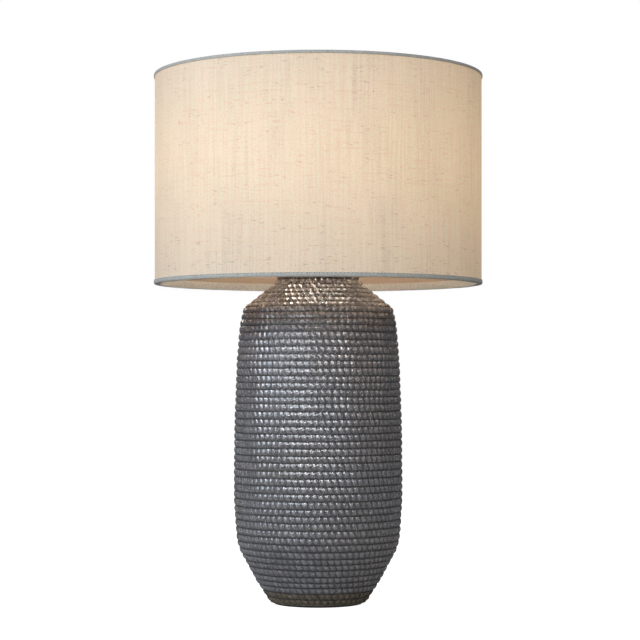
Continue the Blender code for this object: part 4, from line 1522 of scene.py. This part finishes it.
# ---- Bulb ------------------------------------------------------------------------------------
@dataclass
class Bulb:
    """The screw-base bulb: envelope, base, contact, stem and filament."""

    wall: float = 0.9
    thread_pitch: float = 3.63

    def envelope_half(self, inset: float, top: float) -> list[Corner]:
        """Outline from the neck's rim up to the axis, one wall in by inset."""
        return [(12.3 - inset, 459.0, 0), (12.3 - inset, 470 + 0.3 * inset, 25),
                (30.0 - inset, 498 + 0.3 * inset, 28), (30.0 - inset, top - inset, 30 - inset),
                (0, top - inset, 0)]

    def build(self) -> None:
        """Builds and dresses every piece of the bulb."""
        top = Seat.of("bulb_glass").top
        outer = self.envelope_half(0.0, top)
        inner = self.envelope_half(self.wall, top)
        points = [(point.x, point.y, 0) for point in rounded(outer, 14)[::-1]]
        points += [(point.x, point.y, 0) for point in rounded(inner, 14)]
        glass = finished(lathe(points, 80), "opal_envelope", 60)
        dress(glass, Body.ENVELOPE, Slot.OPAL, "bulb_glass")
        self.screw_base()
        self.inside()

    def screw_base(self) -> None:
        """The rolled thread, the black glass and the solder tip."""
        seat = Seat.of("bulb_cap")
        core = seat.radius - 0.9
        shell = lathe([(core - 0.5, seat.bottom, 0.1), (core, seat.bottom, 0.3),
                       (core, seat.top - 4.0, 0.5), (seat.radius - 0.2, seat.top - 2.6, 0.8),
                       (seat.radius - 0.2, seat.top, 0.2), (core - 0.5, seat.top, 0.2)], 64, 3)
        ridge = thread(core, 0.9, self.thread_pitch, seat.bottom + 0.4, seat.top - 3.2, 64)
        dress(finished(joined(shell, ridge), "screw_base", 60), Body.SCREW, Slot.NICKEL,
              "bulb_cap")
        seat = Seat.of("bulb_insulator")
        base = seat.bottom
        black = lathe([(0, base, 0), (5, base, 0.4), (11.5, base + 2.2, 1.5),
                       (11.5, seat.top, 0.3), (0, seat.top, 0)], 64, 4)
        dress(finished(black, "base_insulator_glass"), Body.SCREW, Slot.BASE_GLASS,
              "bulb_insulator")
        seat = Seat.of("bulb_contact")
        tip = lathe([(0, seat.bottom, 0), (3.5, seat.bottom + 0.2, 1.2),
                     (seat.radius, seat.top, 0.2), (0, seat.top, 0)], 32, 4)
        dress(finished(tip, "tip_contact"), Body.SCREW, Slot.NICKEL, "bulb_contact")

    def inside(self) -> None:
        """The glass stem and the filament on it."""
        seat = Seat.of("bulb_stem")
        base, top = seat.bottom, seat.top
        stem = lathe([(0, base, 0), (10.8, base, 0.3), (10.8, base + 1.4, 0.5),
                      (3.2, base + 8, 6), (3.2, top - 4, 1), (4.2, top - 2, 1), (3, top, 0.8),
                      (0, top, 0)], 48, 5)
        dress(finished(stem, "stem_mount"), Body.SCREW, Slot.STEM_GLASS, "bulb_stem")
        seat = Seat.of("bulb_filament")
        foot = seat.bottom + 0.5
        peak = foot + 20.0
        line = rounded([(-2.2, foot, 0), (-13, peak, 1), (-6.5, peak + 3, 1), (0, peak, 1),
                        (6.5, peak + 3, 1), (13, peak, 1), (2.2, foot, 0)], 3)
        wire = sweep(line, 0.45, 8)
        dress(finished(wire, "glow_filament"), Body.SCREW, Slot.FILAMENT, "bulb_filament")


# ---- Harp and finial -------------------------------------------------------------------------
@dataclass
class Harp:
    """The wire loop that carries the shade, with its stud, lock sleeves and finial."""

    leg: float = 36.0
    belly: float = 57.0
    wire: float = 2.0
    stud_radius: float = 3.1
    stud_pitch: float = 0.94

    def build(self) -> None:
        """Builds and dresses every piece."""
        self.loop()
        self.stud()
        self.sleeves()
        self.finial()

    def loop(self) -> None:
        """The bent wire, its bends rounded."""
        seat = Seat.of("harp_wire")
        top = seat.top - self.wire
        half = [(self.leg, seat.bottom, 0), (self.leg, 445, 60), (self.belly, 498, 70),
                (self.belly, top, 42)]
        corners = [(-across, up, bend) for across, up, bend in half] + half[::-1]
        wire = sweep(rounded(corners, 12), self.wire, 20)
        dress(finished(wire, "harp_loop"), Body.HARP, Slot.BRASS, "harp_wire")

    def stud(self) -> None:
        """The block clamped on the wire and the threaded stud above it."""
        seat = Seat.of("harp_stud")
        base = seat.bottom
        shoulder = base + 6.5
        root = self.stud_radius - 0.4
        turned = lathe([(0, base, 0), (7, base, 0.8), (7, base + 2.0, 0.2), (6.6, base + 2.5, 0.2),
                        (6.6, base + 4.0, 0.2), (7, base + 4.5, 0.2), (7, shoulder, 0.4),
                        (root, shoulder, 0.2), (root, seat.top - 0.8, 0.2),
                        (root - 0.6, seat.top, 0.2), (0, seat.top, 0)], 64, 3)
        ridge = thread(root, 0.4, self.stud_pitch, shoulder + 0.6, seat.top - 0.7, 28)
        dress(finished(joined(turned, ridge), "swivel_stud"), Body.HARP, Slot.BRASS, "harp_stud")

    def sleeves(self) -> None:
        """The two sleeves that lock the legs on the cradle, with a knurled grip."""
        for side, node, name, body in (
                (-1, "sleeve_left", "left_lock_sleeve", Body.SLEEVE_LEFT),
                (1, "sleeve_right", "right_lock_sleeve", Body.SLEEVE_RIGHT)):
            seat = Seat.of(node)
            base, top, outer = seat.bottom, seat.top, seat.radius
            outline = [(2.4, base, 0.2), (outer - 0.2, base, 0.4), (outer, base + 0.8, 0.2)]
            for ring in range(4):
                level = base + 4.0 + 3.4 * ring
                outline += [(outer, level, 0.1), (outer - 0.35, level + 0.5, 0.1),
                            (outer - 0.35, level + 1.0, 0.1), (outer, level + 1.5, 0.1)]
            outline += [(outer, top - 0.8, 0.2), (outer - 0.2, top, 0.4), (2.4, top, 0.2)]
            sleeve = lathe(outline, 48, 2)
            bmesh.ops.translate(sleeve, verts=sleeve.verts[:], vec=(side * self.leg, 0, 0))
            dress(finished(sleeve, name), body, Slot.BRASS, node)

    def finial(self) -> None:
        """The threaded bush and the turned knob around it."""
        seat = Seat.of("finial_insert")
        bush = washer(3.45, seat.radius, seat.bottom, seat.top, 0.2, 48)
        dress(finished(bush, "finial_bush"), Body.FINIAL_THREAD, Slot.ZINC, "finial_insert")
        seat = Seat.of("finial_knob")
        base, top = seat.bottom, seat.top
        roof = Seat.of("finial_insert").top + 0.3
        knob = lathe([(0, roof, 0), (5.35, roof, 0.2), (5.35, base, 0.2), (9.5, base, 0.4),
                      (9.5, base + 1.4, 0.4), (8.7, base + 1.8, 0.2), (8.7, base + 2.4, 0.2),
                      (6.6, base + 4.8, 1.6), (6.6, base + 7.6, 1.2), (7.6, base + 8.2, 0.3),
                      (7.6, base + 9.0, 0.3), (6.9, base + 9.6, 0.4), (10, base + 13.0, 3.5),
                      (10, top - 0.2, 8.5), (0, top, 0)], 72, 6)
        dress(finished(knob, "finial_ball"), Body.FINIAL, Slot.BRASS, "finial_knob")


# ---- Shade -----------------------------------------------------------------------------------
@dataclass
class DrumShade:
    """The drum of linen on its film, rings, spider and bindings."""

    cloth_radius: float = 190.0
    cloth_wall: float = 0.7
    arm_angles: tuple[int, ...] = (90, 210, 330)
    arm_radius: float = 1.5
    ring_wire: float = 1.6
    level_steps: int = 12
    binding_ribs: int = 360
    rib_depth: float = 0.16
    upper_lap: float = 1.2
    stitch_pitch: float = 4.6
    stitch_seed: int = 5
    turn_steps: int = 360

    def build(self) -> None:
        """Builds and dresses every piece of the shade."""
        self.spider()
        self.cloth()
        self.bindings()

    def spider(self) -> None:
        """The hub, the three arms and the two rings."""
        seat = Seat.of("spider_hub")
        hub = washer(4.5, seat.radius, seat.bottom, seat.top, 0.3, 64)
        dress(finished(hub, "hub_plate"), Body.SHADE, Slot.ZINC, "spider_hub")
        level = seat.middle.z
        for node, name in (("top_ring", "upper_ring"), ("bottom_ring", "lower_ring")):
            seat = Seat.of(node)
            middle = seat.radius - self.ring_wire
            height = seat.middle.z
            bm = bmesh.new()
            stand = Matrix.Translation((middle, 0, height)) @ Matrix.Rotation(math.pi / 2, 4, "X")
            bmesh.ops.create_circle(bm, segments=10, radius=self.ring_wire, matrix=stand)
            full_spin(bm, bm.verts[:] + bm.edges[:], 240)
            bmesh.ops.recalc_face_normals(bm, faces=bm.faces[:])
            dress(finished(bm, name), Body.SHADE, Slot.ZINC, node)
            if node == "top_ring":
                upper, inner = height, middle - self.ring_wire
        line = rounded([(12.8, level, 0), (22.5, level, 8), (inner - 9, upper, 8),
                        (inner - 0.2, upper, 0)], 6)
        for number, angle in enumerate(self.arm_angles, start=1):
            wire = sweep(line, self.arm_radius, 14)
            turn = Matrix.Rotation(math.radians(angle), 3, "Z")
            bmesh.ops.rotate(wire, verts=wire.verts[:], cent=(0, 0, 0), matrix=turn)
            dress(finished(wire, f"spider_spoke_{number}"), Body.SHADE, Slot.ZINC,
                  f"spider_arm_{number}")

    def cloth(self) -> None:
        """The linen, the film behind it and the glued seam at the back."""
        seat = Seat.of("shade_fabric")
        inner = self.cloth_radius - self.cloth_wall
        linen = self.drum(inner, self.cloth_radius, seat.bottom, seat.top)
        piece = finished(linen, "linen_drum", 30)
        self.lay_cloth_map(piece.data)
        dress(piece, Body.SHADE, Slot.LINEN, "shade_fabric")
        self.linen = piece

        seat = Seat.of("shade_liner")
        film = self.drum(seat.radius - self.cloth_wall, seat.radius, seat.bottom, seat.top)
        dress(finished(film, "drum_film", 30), Body.SHADE, Slot.LINER, "shade_liner")

        seat = Seat.of("shade_seam")
        width = seat.high.x - seat.low.x
        strip = block((-width / 2, 0, seat.bottom), (width / 2, 0.5, seat.top), 0.12)
        for share in (-0.25, 0.0, 0.25):
            cut_across(strip, share * width)
        for vert in strip.verts:
            turn = vert.co.x / self.cloth_radius
            reach = self.cloth_radius + 0.3 + vert.co.y
            vert.co.x = reach * math.sin(turn)
            vert.co.y = reach * math.cos(turn)
        piece = finished(strip, "back_seam")
        self.lay_cloth_map(piece.data)
        dress(piece, Body.SHADE, Slot.LINEN, "shade_seam")
        self.seam = piece

    def drum(self, inner: float, outer: float, bottom: float, top: float) -> Shape:
        """Turns a thin drum with levels up its height, for the light's fall along it."""
        levels = [bottom + (top - bottom) * step / self.level_steps
                  for step in range(self.level_steps + 1)]
        outline = [(outer, level, 0) for level in levels]
        outline += [(inner, level, 0) for level in levels[::-1]]
        return lathe(outline, self.turn_steps)

    def lay_cloth_map(self, mesh: bpy.types.Mesh) -> None:
        """Gives the cloth its own coordinates in metres, round the drum and up it.

        Args:
            mesh: A mesh of the shade, in metres.
        """
        spots = np.zeros(len(mesh.loops) * 2)
        layer = mesh.uv_layers.new(name=FINISHES[Slot.LINEN].cloth_map)
        radius = self.cloth_radius * MM
        at = 0
        for face in mesh.polygons:
            turns = [math.atan2(mesh.vertices[index].co.x, -mesh.vertices[index].co.y)
                     for index in face.vertices]
            highest = max(turns)
            for turn, index in zip(turns, face.vertices):
                whole = turn + FULL_TURN if highest - turn > math.pi else turn
                spots[at] = whole * radius
                spots[at + 1] = mesh.vertices[index].co.z
                at += 2
        layer.data.foreach_set("uv", spots)

    def bindings(self) -> None:
        """The ribbed bindings over both edges, with the stitches along them."""
        seat = Seat.of("top_trim")
        outer, inner = seat.radius, self.cloth_radius + 0.3
        base, top = seat.bottom + self.upper_lap, seat.top
        ring = Seat.of("top_ring").radius - self.ring_wire
        upper = [(inner, base, 0.1), (outer - 0.3, base, 0.4), (outer, (base + top) / 2, 1.2),
                 (outer - 0.5, top, 0.5), (ring, top, 0.2), (ring, top - 0.6, 0.1),
                 (inner, top - 0.6, 0.1)]
        binding = self.ribbed(lathe(upper, self.turn_steps * 2, 3))
        upper_piece = finished(binding, "upper_binding", 50)
        dress(upper_piece, Body.SHADE, Slot.BINDING, "top_trim")
        upper_row = finished(self.stitches(outer - 0.35, top - 0.7), "upper_stitches", 60)
        dress(upper_row, Body.SHADE, Slot.BINDING, finish=STITCH_THREAD)

        seat = Seat.of("bottom_trim")
        base, top = seat.bottom, seat.bottom + seat.height * 0.5
        hem = Seat.of("bottom_ring").radius - 2 * self.ring_wire - 0.3
        edge = base + 4.6
        lower = [(inner, edge, 0.1), (inner, base + 0.6, 0.1), (hem, base + 0.6, 0.1),
                 (hem, seat.top, 0.1), (hem - 0.6, seat.top, 0.1), (hem - 0.6, base, 0.3),
                 (outer - 0.5, base, 0.5), (outer, base + 2.3, 1.2), (outer - 0.3, edge, 0.4)]
        binding = self.ribbed(lathe(lower, self.turn_steps * 2, 3))
        lower_piece = finished(binding, "lower_binding", 50)
        dress(lower_piece, Body.SHADE, Slot.BINDING, "bottom_trim")
        lower_row = finished(self.stitches(outer - 0.2, edge - 0.8), "lower_stitches", 60)
        dress(lower_row, Body.SHADE, Slot.BINDING, finish=STITCH_THREAD)
        height = Seat.of("shade_fabric").height * MM

    def ribbed(self, bm: Shape) -> Shape:
        """Draws fine ribs round the outer skin of a binding."""
        for vert in bm.verts:
            reach = vert.co.xy.length
            if reach > self.cloth_radius + 0.6:
                turn = math.atan2(vert.co.y, vert.co.x)
                pull = self.rib_depth * (0.5 + 0.5 * math.sin(self.binding_ribs * turn)) / reach
                draw_in(vert, pull)
        return bm

    def stitches(self, reach: float, level: float) -> Shape:
        """Lays a row of short stitches round a binding.

        Args:
            reach: Radius of the row.
            level: Its height.

        Returns:
            The stitches, each a small closed bead.
        """
        rng = np.random.default_rng(self.stitch_seed)
        count = round(FULL_TURN * reach / self.stitch_pitch)
        row = []
        for number in range(count):
            stitch = bmesh.new()
            bmesh.ops.create_uvsphere(stitch, u_segments=6, v_segments=4, radius=0.5)
            size = rng.uniform(0.7, 1.15)
            bmesh.ops.scale(stitch, vec=(0.3, 2.0 * size, 0.8), verts=stitch.verts[:])
            bmesh.ops.translate(stitch, vec=(reach - 0.15, 0, level), verts=stitch.verts[:])
            turn = FULL_TURN * (number + rng.uniform(-0.16, 0.16)) / count
            bmesh.ops.rotate(stitch, verts=stitch.verts[:], cent=(0, 0, 0),
                             matrix=Matrix.Rotation(turn, 3, "Z"))
            row.append(stitch)
        return joined(*row)


# ---- The studio ------------------------------------------------------------------------------
@dataclass(frozen=True)
class Softbox:
    """A rectangular light: where it hangs, the point it faces, its size, power and colour."""

    name: str
    place: Place
    aim: Place
    width: float
    height: float
    power: float
    colour: Colour

    def hang(self) -> None:
        """Hangs it, out of the camera's sight."""
        light = bpy.data.lights.new(self.name, "AREA")
        light.shape = "RECTANGLE"
        light.size, light.size_y = self.width, self.height
        light.energy, light.color = self.power, self.colour
        box = placed(self.name, light)
        box.location = self.place
        facing = Vector(self.aim) - Vector(self.place)
        box.rotation_euler = facing.to_track_quat("-Z", "Y").to_euler()
        box.visible_camera = False


SOFTBOXES = (
    Softbox("key_softbox", (-1.75, -1.25, 0.95), (0, 0, 0.25), 0.9, 1.3, 11.0, (0.76, 0.87, 1.0)),
    Softbox("front_strip", (-0.35, -1.9, 1.40), (0, 0, 0.22), 2.0, 0.12, 15.0, (0.95, 0.97, 1.0)),
    Softbox("low_strip", (0.05, -2.1, 0.66), (0, 0, 0.12), 2.1, 0.10, 7.5, (0.95, 0.97, 1.0)),
    Softbox("left_strip", (-1.9, -0.35, 1.35), (0, 0, 0.22), 1.6, 0.12, 10.0, (0.93, 0.96, 1.0)),
    Softbox("right_strip", (1.75, -0.75, 1.35), (0, 0, 0.22), 1.5, 0.12, 2.4, (1.0, 0.90, 0.80)),
    Softbox("rear_strip", (0.9, 1.6, 1.2), (0, 0, 0.22), 1.6, 0.12, 5.0, (1.0, 0.96, 0.92)),
    Softbox("edge_strip", (-0.60, 1.9, 0.62), (-0.08, 0, 0.34), 0.10, 0.3, 2.0, (1.0, 0.98, 0.95)),
    Softbox("warm_fill", (1.9, -0.9, 0.7), (0, 0, 0.25), 0.8, 0.8, 0.7, (1.0, 0.86, 0.74)),
)


@dataclass
class Studio:
    """Pale floor, soft light and the camera, in metres and watts."""

    camera_place: Place = (0.0021, -2.325, 0.2628)
    lens: float = 112.1
    lift: float = 0.090
    world_tone: Colour = (0.105, 0.105, 0.11)
    floor_half_width: float = 30.0
    floor_tone: Colour = (0.80, 0.80, 0.80)
    floor_light: float = 0.93
    bounce_tone: Colour = (0.42, 0.42, 0.42)
    bulb_power: float = 2.5
    bulb_colour: Colour = (1.0, 0.85, 0.70)
    bulb_radius: float = 0.0325
    bulb_rise: float = 0.003

    def build(self) -> None:
        """Sets up floor, world, lamps and camera."""
        bpy.context.scene.view_settings.view_transform = "Standard"
        bpy.context.scene.view_settings.look = "None"
        self.world()
        self.floor()
        for softbox in SOFTBOXES:
            softbox.hang()
        self.glow()
        self.camera()

    def world(self) -> None:
        """White behind the lamp, and a dim even light from all round it."""
        world = bpy.data.worlds.new("studio")
        bpy.context.scene.world = world
        world.use_nodes = True
        graph = Graph(world.node_tree)
        seen = graph.add("ShaderNodeLightPath").outputs["Is Camera Ray"]
        shader = world.node_tree.nodes["Background"]
        graph.feed(shader.inputs["Color"], graph.mix(seen, self.world_tone, (1, 1, 1)))

    def floor(self) -> None:
        """The pale floor under the lamp and far behind it, dimmer in what it throws back."""
        bm = bmesh.new()
        bmesh.ops.create_grid(bm, x_segments=1, y_segments=1, size=self.floor_half_width / MM)
        floor = finished(bm, "pale_floor")
        material = bpy.data.materials.new("pale_floor")
        material.use_nodes = True
        graph = Graph(material.node_tree)
        matt = material.node_tree.nodes["Principled BSDF"]
        graph.fill(matt, {"Base Color": self.floor_tone, "Roughness": 0.9,
                          "Specular IOR Level": 0.0})
        white = graph.add("ShaderNodeEmission",
                          {"Color": (1, 1, 1), "Strength": self.floor_light})
        dim = graph.add("ShaderNodeBsdfDiffuse", {"Color": self.bounce_tone})
        both = graph.add("ShaderNodeAddShader", {0: white.outputs[0], 1: matt.outputs[0]})
        seen = graph.add("ShaderNodeLightPath").outputs["Is Camera Ray"]
        blend = graph.add("ShaderNodeMixShader", {0: seen, 1: dim.outputs[0], 2: both.outputs[0]})
        output = material.node_tree.nodes["Material Output"]
        graph.feed(output.inputs["Surface"], blend.outputs[0])
        floor.data.materials.append(material)

    def glow(self) -> None:
        """The light that the bulb throws inside the shade."""
        light = bpy.data.lights.new("bulb_light", "POINT")
        light.energy, light.color = self.bulb_power, self.bulb_colour
        light.use_soft_falloff = False
        light.shadow_soft_size = self.bulb_radius
        lamp = placed("bulb_light", light)
        lamp.location = (0, 0, BULB_LEVEL + self.bulb_rise)
        lamp.visible_camera = False

    def camera(self) -> None:
        """The level camera in front of the lamp."""
        data = bpy.data.cameras.new("camera")
        data.lens = self.lens
        data.shift_y = self.lift
        camera = placed("camera", data)
        camera.location = self.camera_place
        camera.rotation_euler = (math.pi / 2, 0, 0)
        bpy.context.scene.camera = camera


def main() -> None:
    """Builds the studio and every sub-assembly of the lamp."""
    logging.basicConfig(level=logging.INFO, format="%(message)s")
    Studio().build()
    StonewareBody().build()
    RodHardware().build()
    HarpCradle().build()
    Socket().build()
    Switch().build()
    Bulb().build()
    Harp().build()
    DrumShade().build()


if __name__ == "__main__":
    main()
